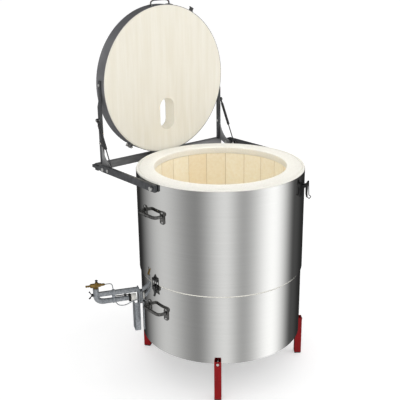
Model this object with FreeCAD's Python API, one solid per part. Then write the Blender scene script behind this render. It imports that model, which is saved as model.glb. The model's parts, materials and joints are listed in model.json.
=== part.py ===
import FreeCAD, Part
import math
import os

Vec = FreeCAD.Vector

# A top-loading raku kiln, in millimetres. Z is up, the floor is z = 0 and the kiln's axis is the Z axis.
# -Y is the front, the lid hinges along the back (+Y), and handles and toggles are on -X and +X.

# Driving dimensions: the round body
LEG_LIFT = 140.0          # floor to the bottom edge of the casing
LOWER_HEIGHT = 260.0      # lower section, up to the seam
UPPER_HEIGHT = 379.0      # upper section, seam to the casing's top edge
RIM_PROUD = 6.0           # how far the fibre rim stands above the casing
UPPER_RADIUS = 306.0      # outside of the upper casing
LOWER_RADIUS = UPPER_RADIUS - 4.0    # outside of the lower casing, which stands in by the seam's step
CHAMBER_RADIUS = LOWER_RADIUS - 62.0   # bricks, blanket and sheet together
SHEET = 1.2               # casing sheet
BLANKET = 9.0             # fibre blanket between bricks and sheet
SKIN_GAP = 0.3            # between a round skin and what it wraps
BRICKS_PER_RING = 20
BRICK_JOINT = 0.6
FIRST_JOINT = 8.0         # azimuth of one brick joint, degrees
BASE_SHEET = 3.0
SLAB_THICKNESS = 72.0
GASKET_THICKNESS = 6.0
COLLAR_HEIGHT = 25.0      # jointless rim on top of the upper bricks
LAP_WIDTH = 28.0          # riveted overlap that closes each casing, at the back
LAP_AZIMUTH = 68.0
LAP_PITCH = 62.0          # between the lap's rivets
RIVET_RADIUS = 1.8        # shank

# Driving dimensions: legs
LEG_SIZE = 25.0
LEG_WALL = 2.5
LEG_OUTER = LOWER_RADIUS + 16.0   # radius of a leg's outer face
LEG_RISE = 15.0           # how far a leg stands up beside the casing
LEG_CAP = 4.0
LEG_AZIMUTHS = {"front_left": 227.0, "front_right": 323.0, "back_left": 125.0, "back_right": 46.0}
LEG_BOLT_RISE = 6.0       # bolt above the casing's bottom edge

# Driving dimensions: bow handles
HANDLE_BAR = 5.0          # radius of the bar
HANDLE_SPAN = 98.0        # between the feet
HANDLE_REACH = 42.0       # bar's centre line out from the casing
HANDLE_BEND = 18.0
HANDLE_RISE = 6.0         # bar above the middle of its plates
PLATE_WIDTH = 22.0
PLATE_HEIGHT = 44.0
PLATE_THICKNESS = 3.0
PLATE_CORNER = 6.0
PLATE_RIVET_IN = 7.0      # rivets in from the plate's ends
UPPER_HANDLE_Z = 663.0    # middle of the plates
LOWER_HANDLE_Z = 297.0
SIDES = {"left": 180.0, "right": 0.0}

# Driving dimensions: frame and lid
PIVOT_Y = UPPER_RADIUS - 16.0
PIVOT_Z = 763.0
BAR_WIDTH = 15.0
BAR_HEIGHT = 26.0
BAR_DROP = 11.0           # pivot above the underside of the side bars
BAR_FRONT = -30.0         # y of the side bars' front ends
BAR_STANDOFF = 0.4        # side bar off the casing
TUBE_WALL = 2.0
CROSS_FRONT = PIVOT_Y + 55.0   # y of the cross bar's front face
CROSS_DEPTH = 20.0
CROSS_DROP = 8.0          # cross bar's top below the side bars' top
LID_RADIUS = UPPER_RADIUS - 26.0   # outside of the lid's band
LID_THICKNESS = 55.0
LID_GAP = 0.3             # closed lid off the rim
BAND_SHEET = 1.5
BAND_HEIGHT = 50.0
BAND_INSET = 3.0          # fibre proud of the band on the inner face
FACE_BEVEL = 5.0          # width of the bevel on that proud edge, which clears the rim as the lid swings
TOP_SHEET = 1.2
SLOT_WIDTH = 66.0
SLOT_LENGTH = 123.0
SLOT_OFFSET = 131.0       # slot's middle from the lid's middle, towards the hinge
ARM_SIZE = 25.0
ARM_GAP = 0.3             # arm off the band
ARM_FRONT = -25.0
STOP_GAP = 0.3            # arm's end off the cross bar when the lid is open
GUSSET_THICKNESS = 5.0
GUSSET_REACH = 85.0       # along the arm from the pivot
HINGE_LOBE = 13.0
HINGE_PIN = 5.0           # radius
HINGE_RUN = 0.05          # radial clearance of every turning joint
OPEN_ANGLE = 90.0

# Driving dimensions: gas springs
SPRING_LOW_Y = PIVOT_Y - 33.0   # lower stud on the side bar
SPRING_LOW_Z = 765.0
SPRING_ARM = 173.0        # upper stud from the pivot, along the arm
SPRING_BODY = 7.5         # radius
SPRING_BODY_LENGTH = 112.0
SPRING_STROKE = 42.2
SPRING_ROD = 4.0          # radius
SPRING_EYE = 9.0          # radius and thickness of the eyes
SPRING_STUD = 4.0         # radius
SPRING_CLEAR = 0.3
SPRING_OFFSET = 5.6       # inner face of the eyes off the side bar

# Driving dimensions: toggles at the seam
TOGGLE_PIVOT_OUT = 9.0    # pivot off the lower casing
TOGGLE_PIVOT_Z = 392.0
TOGGLE_THROW = 14.0       # bail pin below the lever pivot
TOGGLE_OVER = 1.5         # bail pin inside the lever pivot, past dead centre
TOGGLE_TAIL = 36.0
TOGGLE_WIDTH = 38.0       # the base plate's wings
TOGGLE_WIRE = 1.5
TOGGLE_PIN = 2.0
KEEPER_SHELF_Z = 424.0
KEEPER_SHEET = 2.0

# Driving dimensions: lid latch, hanging open
LATCH_AZIMUTH = 298.0
LATCH_PIVOT_OUT = 18.0
LATCH_PIVOT_Z = 742.0
LATCH_TAIL = 44.0
LATCH_WIRE = 1.5
LATCH_DROP = 52.0         # straight part of the hanging bail

# Driving dimensions: burner, fired along its own axis
BURNER_ANGLE = -23.2      # direction of fire in plan, degrees
BURNER_OFFSET = 104.0     # burner axis from the kiln's axis
BURNER_Z = 250.0
PORT_RADIUS = 28.0
PORT_TUBE = 24.0          # inside of the steel port tube
PIPE_RADIUS = 9.0
RISER_RADIUS = 11.5
STAY_RADIUS = 10.0
STAY_LIFT = 31.0          # stay tube above the mixing pipe
PLATE_X = LOWER_RADIUS + 2.0   # outer face of the burner plate, from the kiln's axis
PLATE_SHEET = 4.0
PLATE_HALF = 20.0
PLATE_TOP_Z = 294.0
PLATE_BOTTOM_Z = 100.0
CHANNEL_DEPTH = 19.0
CHANNEL_SHEET = 3.0
FOOT_REACH = 42.0         # the plate's foot, in under the kiln
PROBE_RADIUS = 2.0
PROBE_GAP = 0.3           # probe's tip off the plate
PILOT_RADIUS = 2.5
PILOT_LIFT = 14.6         # pilot tube above the mixing pipe's axis
CUP_LENGTH = 26.0
CUP_RADIUS = 15.0
CUP_GAP = 3.0             # cup's mouth off the plate
RING_LENGTH = 8.0
RISER_X = PLATE_X + 179.0   # the riser stands this far off the plate
ELBOW_BEND = 24.0
VALVE_Z = BURNER_Z + 70.0
VALVE_NUT = 36.0          # probe's nut from the riser's axis
WHEEL_GAP = 0.5
SPINDLE_RADIUS = 2.5
BUTTON_TRAVEL = 4.0

# Sizes that follow from them
SEAM_Z = LEG_LIFT + LOWER_HEIGHT
LOWER_TOP = SEAM_Z - GASKET_THICKNESS / 2
UPPER_BOTTOM = SEAM_Z + GASKET_THICKNESS / 2
CASING_TOP = SEAM_Z + UPPER_HEIGHT
RIM_Z = CASING_TOP + RIM_PROUD
FLOOR_Z = LEG_LIFT + BASE_SHEET + SLAB_THICKNESS
COLLAR_Z = RIM_Z - COLLAR_HEIGHT
LID_Z = RIM_Z + LID_GAP
LID_TOP = LID_Z + LID_THICKNESS
BAND_Z = LID_Z + BAND_INSET
BAR_INNER = UPPER_RADIUS + BAR_STANDOFF
BAR_OUTER = BAR_INNER + BAR_WIDTH
BAR_BOTTOM = PIVOT_Z - BAR_DROP
CROSS_TOP = BAR_BOTTOM + BAR_HEIGHT - CROSS_DROP
CROSS_BACK = CROSS_FRONT + CROSS_DEPTH
ARM_INNER = LID_RADIUS + ARM_GAP
ARM_OUTER = ARM_INNER + ARM_SIZE
ARM_MID_Z = LID_Z + LID_THICKNESS / 2
ARM_END = PIVOT_Y - (CROSS_TOP + STOP_GAP - PIVOT_Z)
ARM_BOTTOM = ARM_MID_Z - ARM_SIZE / 2
EYE_INNER = BAR_OUTER + SPRING_OFFSET
EYE_MID = EYE_INNER + SPRING_EYE / 2
BOLT_HEX = 8.0            # corner radius of the larger bolt heads
BOLT_HEAD = 6.0
SCREW_RADIUS = 3.0        # the smaller bolts
SCREW_HEAD = 5.5


def polygon_face(points):
    """A flat face whose corners are the points, closed back to the first one."""
    return Part.Face(Part.makePolygon(list(points) + [points[0]]))


def revolved(profile, sweep=360.0):
    """Turn an outline of (radius, z) pairs about the Z axis."""
    face = polygon_face([Vec(r, 0, z) for r, z in profile])
    return face.revolve(Vec(0, 0, 0), Vec(0, 0, 1), sweep)


def laid_along_x(shape, place):
    """Tip a shape turned about the Z axis over onto the X direction, from a place."""
    laid = shape.copy()
    laid.Placement = FreeCAD.Placement(place, FreeCAD.Rotation(Vec(0, 0, 1), Vec(1, 0, 0)))
    return laid


def ring(outer, inner, low, high):
    """A plain ring: a rectangle turned about the Z axis."""
    return revolved([(inner, low), (outer, low), (outer, high), (inner, high)])


def box(x0, x1, y0, y1, z0, z1):
    """A block between two corners."""
    return Part.makeBox(x1 - x0, y1 - y0, z1 - z0, Vec(x0, y0, z0))


def rod(radius, start, end):
    """A round bar between two points."""
    return Part.makeCylinder(radius, (end - start).Length, start, end - start)


def around(shape, azimuth):
    """Turn a shape about the kiln's axis; shapes are first built facing +X."""
    turned = shape.copy()
    turned.rotate(Vec(0, 0, 0), Vec(0, 0, 1), azimuth)
    return turned


def mirrored(shape):
    """The same shape on the other side of the plane x = 0."""
    return shape.mirror(Vec(0, 0, 0), Vec(1, 0, 0))


def both_sides(shape):
    """A pair of shapes, the second the mirror image of the first in the plane x = 0."""
    return [shape, mirrored(shape)]


def group(shapes):
    """Separate solids kept together as one node."""
    return Part.makeCompound(list(shapes))


def bent_bar(points, radius, bend=None):
    """A round bar along straight runs joined by arcs, as large as the runs allow if no bend is given."""
    edges = []
    last = points[0]
    for before, corner, after in zip(points, points[1:], points[2:]):
        a = (before - corner).normalize()
        b = (after - corner).normalize()
        half = math.acos(max(-1.0, min(1.0, a.dot(b)))) / 2
        shorter = min((before - corner).Length, (after - corner).Length)
        trim = 0.45 * shorter if bend is None else bend / math.tan(half)
        middle = (a + b).normalize()
        start = corner + a * trim
        end = corner + b * trim
        arc = trim * math.tan(half)
        crown = corner + middle * (arc / math.sin(half) - arc)
        edges.append(Part.makeLine(last, start))
        edges.append(Part.Arc(start, crown, end).toShape())
        last = end
    edges.append(Part.makeLine(last, points[-1]))
    path = Part.Wire(edges)
    profile = Part.Wire(Part.makeCircle(radius, points[0], points[1] - points[0]))
    return path.makePipeShell([profile], True, False)


def upright_edges(shape):
    """The edges of a block that run along Z."""
    return [edge for edge in shape.Edges if abs(edge.tangentAt(edge.FirstParameter).z) > 0.9]


def square_tube(x0, x1, y0, y1, z0, z1, wall, along):
    """A rectangular tube with open ends; along is the axis letter of its length."""
    dx, dy, dz = [0.0 if along == axis else wall for axis in "xyz"]
    outer = box(x0, x1, y0, y1, z0, z1)
    return outer.cut(box(x0 + dx, x1 - dx, y0 + dy, y1 - dy, z0 + dz, z1 - dz))


def hex_head(radius, start, end):
    """A hexagonal head or nut between two points on its axis."""
    points = []
    for k in range(6):
        turn = math.radians(60 * k)
        points.append(Vec(radius * math.cos(turn), radius * math.sin(turn), 0))
    head = polygon_face(points).extrude(Vec(0, 0, (end - start).Length))
    head.Placement = FreeCAD.Placement(start, FreeCAD.Rotation(Vec(0, 0, 1), end - start))
    return head


def rivet(azimuth, radius, z, grip):
    """A domed rivet at one azimuth; radius is the face under its head and grip what it holds together."""
    r = RIVET_RADIUS
    profile = [(0, -grip), (r, -grip), (r, 0), (2 * r, 0), (1.6 * r, 0.7 * r), (0, r)]
    solid = revolved(profile)
    return around(laid_along_x(solid, Vec(radius, 0, z)), azimuth)


def rivet_hole(azimuth, radius, z, grip):
    """The hole that a rivet's shank fills, cut a little past both ends."""
    hole = rod(RIVET_RADIUS, Vec(radius - grip - 1, 0, z), Vec(radius + 1, 0, z))
    return around(hole, azimuth)


# The round body

def casing(radius, low, high, holes):
    """A rolled stainless shell, closed by a riveted lap at the back and drilled for what it carries."""
    shell = ring(radius, radius - SHEET, low, high)
    lap_half = math.degrees(LAP_WIDTH / 2 / radius)
    outer = radius + SHEET
    lap = revolved([(radius, low), (outer, low), (outer, high), (radius, high)], 2 * lap_half)
    lap = around(lap, LAP_AZIMUTH - lap_half)
    return shell.fuse(lap).cut(group(holes))


def lap_rivets(radius, low, high):
    """Azimuth, radius, height and grip of the rivets up one lap."""
    count = max(2, round((high - low) / LAP_PITCH))
    step = (high - low) / count
    return [(LAP_AZIMUTH, radius + SHEET, low + step * (k + 0.5), 2 * SHEET) for k in range(count)]


def brick_ring(low, high, outer):
    """Wedge bricks standing side by side round the chamber, each a separate solid."""
    pitch = 360.0 / BRICKS_PER_RING
    lost = math.degrees(BRICK_JOINT / CHAMBER_RADIUS)
    profile = [(CHAMBER_RADIUS, low), (outer, low), (outer, high), (CHAMBER_RADIUS, high)]
    brick = around(revolved(profile, pitch - lost), lost / 2)
    return [around(brick, FIRST_JOINT + pitch * k) for k in range(BRICKS_PER_RING)]


def leg(azimuth):
    """A square tube notched at the top: the kiln's edge sits on it, its outer wall beside the casing."""
    inner = LEG_OUTER - LEG_SIZE
    half = LEG_SIZE / 2
    top = LEG_LIFT + LEG_RISE
    tube = square_tube(inner, LEG_OUTER, -half, half, LEG_CAP, top, LEG_WALL, "z")
    notch = Part.makeCylinder(LOWER_RADIUS + SKIN_GAP, LEG_RISE + 1, Vec(0, 0, LEG_LIFT))
    bolt_z = LEG_LIFT + LEG_BOLT_RISE
    hole = rod(SCREW_RADIUS, Vec(inner, 0, bolt_z), Vec(LEG_OUTER, 0, bolt_z))
    return around(tube.cut(notch).cut(hole), azimuth)


def leg_cap(azimuth):
    """A plastic foot plugged into the end of one leg."""
    half = LEG_SIZE / 2
    inner = LEG_OUTER - LEG_SIZE
    sole = box(inner, LEG_OUTER, -half, half, 0, LEG_CAP)
    sole = sole.makeFillet(LEG_WALL, upright_edges(sole))
    plug_half = half - LEG_WALL
    plug = box(inner + LEG_WALL, LEG_OUTER - LEG_WALL, -plug_half, plug_half, LEG_CAP, 4 * LEG_CAP)
    return around(sole.fuse(plug), azimuth)


def leg_bolt(azimuth):
    """The bolt that holds one leg to the lower casing."""
    z = LEG_LIFT + LEG_BOLT_RISE
    head = hex_head(SCREW_HEAD, Vec(LEG_OUTER, 0, z), Vec(LEG_OUTER + SCREW_RADIUS, 0, z))
    shank = rod(SCREW_RADIUS, Vec(LOWER_RADIUS - SHEET, 0, z), Vec(LEG_OUTER, 0, z))
    return around(head.fuse(shank), azimuth)


def leg_bolt_hole(azimuth):
    """The hole in the casing for one leg bolt."""
    z = LEG_LIFT + LEG_BOLT_RISE
    return around(rod(SCREW_RADIUS, Vec(LOWER_RADIUS - SHEET - 3, 0, z), Vec(LEG_OUTER, 0, z)), azimuth)


# Bow handles

def handle_foot_azimuth(radius):
    """Angle from a handle's middle to either foot."""
    return math.degrees(math.asin(HANDLE_SPAN / 2 / radius))


def bow_handle(azimuth, radius, z):
    """A bent round bar welded to two upright plates that lie against the casing."""
    bar_z = z + HANDLE_RISE
    half = HANDLE_SPAN / 2
    root = math.sqrt(radius ** 2 - half ** 2) + PLATE_THICKNESS / 2
    out = radius + HANDLE_REACH
    path = [Vec(root, -half, bar_z), Vec(out, -half, bar_z), Vec(out, half, bar_z), Vec(root, half, bar_z)]
    bow = bent_bar(path, HANDLE_BAR, HANDLE_BEND)
    plate = box(radius, radius + PLATE_THICKNESS, -PLATE_WIDTH / 2, PLATE_WIDTH / 2,
                z - PLATE_HEIGHT / 2, z + PLATE_HEIGHT / 2)
    corners = [edge for edge in plate.Edges if abs(edge.tangentAt(edge.FirstParameter).x) > 0.9]
    plate = plate.makeFillet(PLATE_CORNER, corners)
    for offset in plate_rivet_offsets():
        start = Vec(radius, 0, z + offset)
        plate = plate.cut(rod(RIVET_RADIUS, start, start + Vec(PLATE_THICKNESS, 0, 0)))
    foot = handle_foot_azimuth(radius)
    whole = bow.fuse(around(plate, foot)).fuse(around(plate, -foot)).removeSplitter()
    return around(whole, azimuth)


def plate_rivet_offsets():
    """Heights of a handle plate's two rivets from its middle; the bar covers neither."""
    return -PLATE_HEIGHT / 2 + PLATE_RIVET_IN, PLATE_HEIGHT / 2 - PLATE_RIVET_IN / 2


def handle_rivets(azimuth, radius, z):
    """Azimuth, radius, height and grip of the four rivets of one handle."""
    foot = handle_foot_azimuth(radius)
    places = []
    for turn in (-foot, foot):
        for offset in plate_rivet_offsets():
            places.append((azimuth + turn, radius + PLATE_THICKNESS, z + offset, PLATE_THICKNESS + SHEET))
    return places


# Over-centre toggles that lock the two sections together

def toggle_base(azimuth):
    """A winged plate on the lower casing with two ears for the lever's pin."""
    r = LOWER_RADIUS
    z = TOGGLE_PIVOT_Z
    half = TOGGLE_WIDTH / 2
    wings = [(-half, z - 4), (3 - half, z + 10), (half - 3, z + 10), (half, z - 4), (8, z - 14), (7, z - 26),
             (-7, z - 26), (-8, z - 14)]
    plate = polygon_face([Vec(r, y, h) for y, h in wings]).extrude(Vec(KEEPER_SHEET, 0, 0))
    pivot = r + TOGGLE_PIVOT_OUT
    ears = []
    for side in (-1, 1):
        root = box(r + 1, pivot, side * 7.5 - 1, side * 7.5 + 1, z - 5, z + 5)
        lobe = rod(5.0, Vec(pivot, side * 7.5 - 1, z), Vec(pivot, side * 7.5 + 1, z))
        ears.append(root.fuse(lobe))
    bore = rod(TOGGLE_PIN + HINGE_RUN, Vec(pivot, -12, z), Vec(pivot, 12, z))
    return around(plate.fuse(ears).cut(bore), azimuth)


def toggle_lever(azimuth):
    """The lever, folded down: a rounded head on its pin and a tail that lifts away at the tip."""
    x = LOWER_RADIUS + TOGGLE_PIVOT_OUT
    z = TOGGLE_PIVOT_Z
    bail_x = x - TOGGLE_OVER
    bail_z = z - TOGGLE_THROW
    low = z - TOGGLE_TAIL
    side = [(x - 4, z), (x - 5, bail_z - 3), (x - 3, low + 8), (x + 1, low), (x + 4, low + 1),
            (x + 1, low + 9), (x + 1, bail_z - 3), (x + 4.6, z)]
    body = polygon_face([Vec(a, -6.2, b) for a, b in side]).extrude(Vec(0, 12.4, 0))
    taper = box(x - 12, x + 12, -4.0, 4.0, low - 1, bail_z - 6).fuse(
        box(x - 12, x + 12, -6.2, 6.2, bail_z - 6, z + 10))
    head = rod(4.6, Vec(x, -6.2, z), Vec(x, 6.2, z))
    pin = rod(TOGGLE_PIN, Vec(x, -10, z), Vec(x, 10, z))
    bore = rod(TOGGLE_WIRE + HINGE_RUN, Vec(bail_x, -7, bail_z), Vec(bail_x, 7, bail_z))
    return around(body.fuse(head).common(taper).fuse(pin).cut(bore), azimuth)


def toggle_bail(azimuth):
    """The wire loop from the lever up over the keeper's shelf."""
    x = LOWER_RADIUS + TOGGLE_PIVOT_OUT - TOGGLE_OVER
    z = TOGGLE_PIVOT_Z - TOGGLE_THROW
    top = KEEPER_SHELF_Z + TOGGLE_WIRE + SPRING_CLEAR
    lean = UPPER_RADIUS + 5.5
    path = [Vec(x, -5.5, z), Vec(x, -14, z), Vec(lean, -11, top),
            Vec(lean, 11, top), Vec(x, 14, z), Vec(x, 5.5, z)]
    return around(bent_bar(path, TOGGLE_WIRE, 3.0), azimuth)


def toggle_keeper(azimuth):
    """A pointed plate on the upper casing with a bent-out shelf for the bail."""
    r = UPPER_RADIUS
    z = KEEPER_SHELF_Z
    outline = [(-13, z - 12), (13, z - 12), (13, z - 3), (0, z + 16), (-13, z - 3)]
    plate = polygon_face([Vec(r, y, h) for y, h in outline]).extrude(Vec(KEEPER_SHEET, 0, 0))
    shelf = box(r, r + 10, -8, 8, z - KEEPER_SHEET, z)
    return around(plate.fuse(shelf), azimuth)


# Lid latch on the upper casing, hanging released

def latch_base():
    """A flat plate with two ears that carry the latch lever well clear of the casing."""
    r = UPPER_RADIUS
    z = LATCH_PIVOT_Z
    pivot = r + LATCH_PIVOT_OUT
    plate = box(r, r + 1.5, -21, 21, z - 40, z + 12)
    ears = []
    for side in (-1, 1):
        y = side * 9.0
        outline = [Vec(r + 0.5, y - 1, z - 16), Vec(pivot + 3, y - 1, z - 4), Vec(pivot + 3, y - 1, z + 4),
                   Vec(pivot - 3, y - 1, z + 5), Vec(r + 0.5, y - 1, z - 2)]
        ears.append(polygon_face(outline).extrude(Vec(0, 2, 0)))
    bore = rod(TOGGLE_PIN + HINGE_RUN, Vec(pivot, -12, z), Vec(pivot, 12, z))
    return around(plate.fuse(ears).cut(bore), LATCH_AZIMUTH)


def latch_bail_pin():
    """Radius and height of the bail's pin in the lever's head."""
    return UPPER_RADIUS + LATCH_PIVOT_OUT + 3.0, LATCH_PIVOT_Z + 12.0


def latch_lever():
    """A curved lever hanging down from its pin, with the bail's pin hole above."""
    x = UPPER_RADIUS + LATCH_PIVOT_OUT
    z = LATCH_PIVOT_Z
    bail_x, bail_z = latch_bail_pin()
    low = z - LATCH_TAIL
    side = [(x - 4, z), (bail_x - 3, bail_z), (bail_x + 3, bail_z), (x + 4, z), (x + 2, low + 12),
            (x + 3, low), (x, low - 1), (x - 3, low + 12)]
    body = polygon_face([Vec(a, -5.0, b) for a, b in side]).extrude(Vec(0, 10.0, 0))
    head = rod(4.5, Vec(x, -7.6, z), Vec(x, 7.6, z))
    nose = rod(3.0, Vec(bail_x, -5.0, bail_z), Vec(bail_x, 5.0, bail_z))
    pin = rod(TOGGLE_PIN, Vec(x, -10.3, z), Vec(x, 10.3, z))
    bore = rod(LATCH_WIRE + HINGE_RUN, Vec(bail_x, -7, bail_z), Vec(bail_x, 7, bail_z))
    return around(body.fuse([head, nose, pin]).cut(bore), LATCH_AZIMUTH)


def latch_bail():
    """The wire loop hanging outside the lever, with its end bent out into a hook."""
    x, z = latch_bail_pin()
    low = z - LATCH_DROP
    hook = Vec(x + 10, 0, low - 5)
    w = 12.5
    path = [Vec(x, -4.5, z), Vec(x, -w, z), Vec(x + 2, -w, low), hook + Vec(0, -w, 0),
            hook + Vec(0, w, 0), Vec(x + 2, w, low), Vec(x, w, z), Vec(x, 4.5, z)]
    return around(bent_bar(path, LATCH_WIRE, 3.0), LATCH_AZIMUTH)


# The hinge frame: two side bars, a cross bar, and what pins them

def side_bar():
    """The right-hand side bar, bored for the frame bolt, the hinge pin and the spring stud."""
    tube = square_tube(BAR_INNER, BAR_OUTER, BAR_FRONT, CROSS_BACK, BAR_BOTTOM, BAR_BOTTOM + BAR_HEIGHT,
                       TUBE_WALL, "y")
    front = box(BAR_INNER, BAR_OUTER, BAR_FRONT - 1.5, BAR_FRONT, BAR_BOTTOM, BAR_BOTTOM + BAR_HEIGHT)
    bores = []
    for r, y, z in ((HINGE_PIN, PIVOT_Y, PIVOT_Z), (HINGE_PIN, frame_bolt_y(), bar_mid()),
                    (SPRING_STUD, SPRING_LOW_Y, SPRING_LOW_Z)):
        bores.append(rod(r, Vec(BAR_INNER - 1, y, z), Vec(BAR_OUTER + 1, y, z)))
    return tube.fuse(front).cut(group(bores))


def bar_mid():
    """Height of the side bars' centre line."""
    return BAR_BOTTOM + BAR_HEIGHT / 2


def frame_bolt_y():
    """The frame bolt sits a little behind the side bar's front end."""
    return BAR_FRONT + BAR_WIDTH


def cross_bar():
    """The tube behind the kiln that ties the side bars together."""
    return square_tube(-BAR_INNER, BAR_INNER, CROSS_FRONT, CROSS_BACK, CROSS_TOP - BAR_HEIGHT, CROSS_TOP,
                       TUBE_WALL, "x")


def frame_bolt():
    """The bolt that clamps a side bar to the casing."""
    y, z = frame_bolt_y(), bar_mid()
    head = hex_head(BOLT_HEX, Vec(BAR_OUTER, y, z), Vec(BAR_OUTER + BOLT_HEAD, y, z))
    shank = rod(HINGE_PIN, Vec(frame_bolt_end(), y, z), Vec(BAR_OUTER, y, z))
    return head.fuse(shank)


def frame_bolt_end():
    """The frame bolt ends inside the casing sheet, short of the blanket."""
    return UPPER_RADIUS - SHEET


def hinge_pin():
    """The bolt that a lid arm turns on, headed outside and nutted inside."""
    nut_face = gusset_inner() - SPRING_CLEAR
    shank = rod(HINGE_PIN, Vec(nut_face - BOLT_HEAD, PIVOT_Y, PIVOT_Z), Vec(BAR_OUTER, PIVOT_Y, PIVOT_Z))
    head = hex_head(BOLT_HEX, Vec(BAR_OUTER, PIVOT_Y, PIVOT_Z), Vec(BAR_OUTER + 3, PIVOT_Y, PIVOT_Z))
    nut = hex_head(BOLT_HEX, Vec(nut_face, PIVOT_Y, PIVOT_Z), Vec(nut_face - BOLT_HEAD, PIVOT_Y, PIVOT_Z))
    return shank.fuse([head, nut])


def gusset_inner():
    """Inner face of the gusset plate under a lid arm."""
    return ARM_OUTER - GUSSET_THICKNESS


def spring_stud():
    """The lower stud of a gas spring, with a collar and an end nut either side of the eye."""
    y, z = SPRING_LOW_Y, SPRING_LOW_Z
    collar_end = EYE_INNER - SPRING_CLEAR
    nut_start = EYE_INNER + SPRING_EYE + SPRING_CLEAR
    shank = rod(SPRING_STUD, Vec(BAR_INNER, y, z), Vec(nut_start + 5, y, z))
    collar = rod(7.0, Vec(BAR_OUTER, y, z), Vec(collar_end, y, z))
    nut = hex_head(6.5, Vec(nut_start, y, z), Vec(nut_start + 5, y, z))
    return shank.fuse([collar, nut])


# The lid, built closed and then swung up about the hinge

def lid_up(shape):
    """Swing a shape built on the closed lid up to the open rest position."""
    swung = shape.copy()
    swung.rotate(Vec(0, PIVOT_Y, PIVOT_Z), Vec(1, 0, 0), -OPEN_ANGLE)
    return swung


def flue_slot(low, high):
    """The round-ended flue opening, as a solid to cut with."""
    reach = (SLOT_LENGTH - SLOT_WIDTH) / 2
    r = SLOT_WIDTH / 2
    middle = box(-r, r, SLOT_OFFSET - reach, SLOT_OFFSET + reach, low, high)
    ends = [Part.makeCylinder(r, high - low, Vec(0, SLOT_OFFSET + side * reach, low)) for side in (-1, 1)]
    return middle.fuse(ends).removeSplitter()


def lid_insulation():
    """The fibre disc with the flue slot cut through it, its face bevelled down to the band's edge."""
    r = LID_RADIUS - BAND_SHEET - SKIN_GAP
    disc = revolved([(0, LID_Z), (r - FACE_BEVEL, LID_Z), (r, BAND_Z), (r, LID_TOP), (0, LID_TOP)])
    return lid_up(disc.cut(flue_slot(LID_Z - 1, LID_TOP + 1)))


def lid_top_sheet():
    """The thin steel sheet over the outside of the lid, with the same flue slot."""
    disc = Part.makeCylinder(LID_RADIUS - BAND_SHEET - SKIN_GAP, TOP_SHEET, Vec(0, 0, LID_TOP))
    return lid_up(disc.cut(flue_slot(LID_TOP - 1, LID_TOP + TOP_SHEET + 1)))


CLAMP_AZIMUTH = 125.0
CLAMP_GAP = 12.0
CLAMP_EAR = 14.0


def lid_band():
    """The steel band round the fibre, split at the clamp where both ends turn out into ears."""
    high = BAND_Z + BAND_HEIGHT
    half_gap = CLAMP_GAP / 2
    hoop = ring(LID_RADIUS, LID_RADIUS - BAND_SHEET, BAND_Z, high)
    split = box(LID_RADIUS - 20, LID_RADIUS + 5, -half_gap, half_gap, BAND_Z - 1, high + 1)
    hoop = hoop.cut(around(split, CLAMP_AZIMUTH))
    z = ARM_MID_Z
    for side in (-1, 1):
        y0, y1 = sorted((side * half_gap, side * (half_gap + 2.5)))
        ear = box(LID_RADIUS - BAND_SHEET, LID_RADIUS + CLAMP_EAR, y0, y1, z - 10, z + 10)
        hole = rod(3.0, Vec(clamp_bolt_radius(), y0, z), Vec(clamp_bolt_radius(), y1, z))
        hoop = hoop.fuse(around(ear.cut(hole), CLAMP_AZIMUTH))
    return lid_up(hoop.cut(group(lid_rivet_holes())))


def clamp_bolt_radius():
    """The clamp screw runs through the middle of the ears."""
    return LID_RADIUS + CLAMP_EAR * 0.55


def band_clamp_screw():
    """The screw and nut that draw the band's ears together."""
    r, z = clamp_bolt_radius(), ARM_MID_Z
    face = CLAMP_GAP / 2 + 2.5
    screw = rod(3.0, Vec(r, -face - 9, z), Vec(r, face + 5, z))
    head = hex_head(5.5, Vec(r, face, z), Vec(r, face + 5, z))
    nut = hex_head(5.5, Vec(r, -face, z), Vec(r, -face - 5, z))
    return lid_up(around(screw.fuse([head, nut]), CLAMP_AZIMUTH))


LID_HANDLE_HALF = 43.0
LID_HANDLE_OUT = 27.0
LID_HANDLE_BAR = 3.5
CATCH_OUT = 16.0
CATCH_WIDTH = 18.0
CATCH_RIVETS = (16.0, 25.0)   # above the band's lower edge
PAD_SHEET = 2.0
PAD_RIVET = 8.5               # rivets either side of the lid handle's bar


def lid_handle():
    """A small bow of round bar at the lid's free edge, flattened into two riveted feet."""
    z = ARM_MID_Z
    r = LID_RADIUS
    root = math.sqrt(r ** 2 - LID_HANDLE_HALF ** 2) + 1.0
    out = r + LID_HANDLE_OUT
    h = LID_HANDLE_HALF
    bow = bent_bar([Vec(root, -h, z), Vec(out, -h, z), Vec(out, h, z), Vec(root, h, z)], LID_HANDLE_BAR, 20.0)
    foot = math.degrees(math.asin(h / r))
    pad = box(r, r + PAD_SHEET, -8, 8, z - 13, z + 13)
    for offset in (-PAD_RIVET, PAD_RIVET):
        pad = pad.cut(rod(RIVET_RADIUS, Vec(r, 0, z + offset), Vec(r + PAD_SHEET, 0, z + offset)))
    whole = bow.fuse([around(pad, foot), around(pad, -foot)])
    return lid_up(around(whole, 270.0))


def lid_catch():
    """The clip on the lid's band that the latch bail hooks over."""
    r = LID_RADIUS
    z = BAND_Z
    half = CATCH_WIDTH / 2
    plate = box(r, r + PAD_SHEET, -half, half, z + 1, z + CATCH_RIVETS[1] + 5)
    hook = box(r, r + CATCH_OUT, -half, half, z + 6, z + 6 + PAD_SHEET)
    lip = box(r + CATCH_OUT - PAD_SHEET, r + CATCH_OUT, -half, half, z + 6, z + 13)
    for offset in CATCH_RIVETS:
        plate = plate.cut(rod(RIVET_RADIUS, Vec(r, 0, z + offset), Vec(r + PAD_SHEET, 0, z + offset)))
    return lid_up(around(plate.fuse([hook, lip]), LATCH_AZIMUTH))


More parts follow.
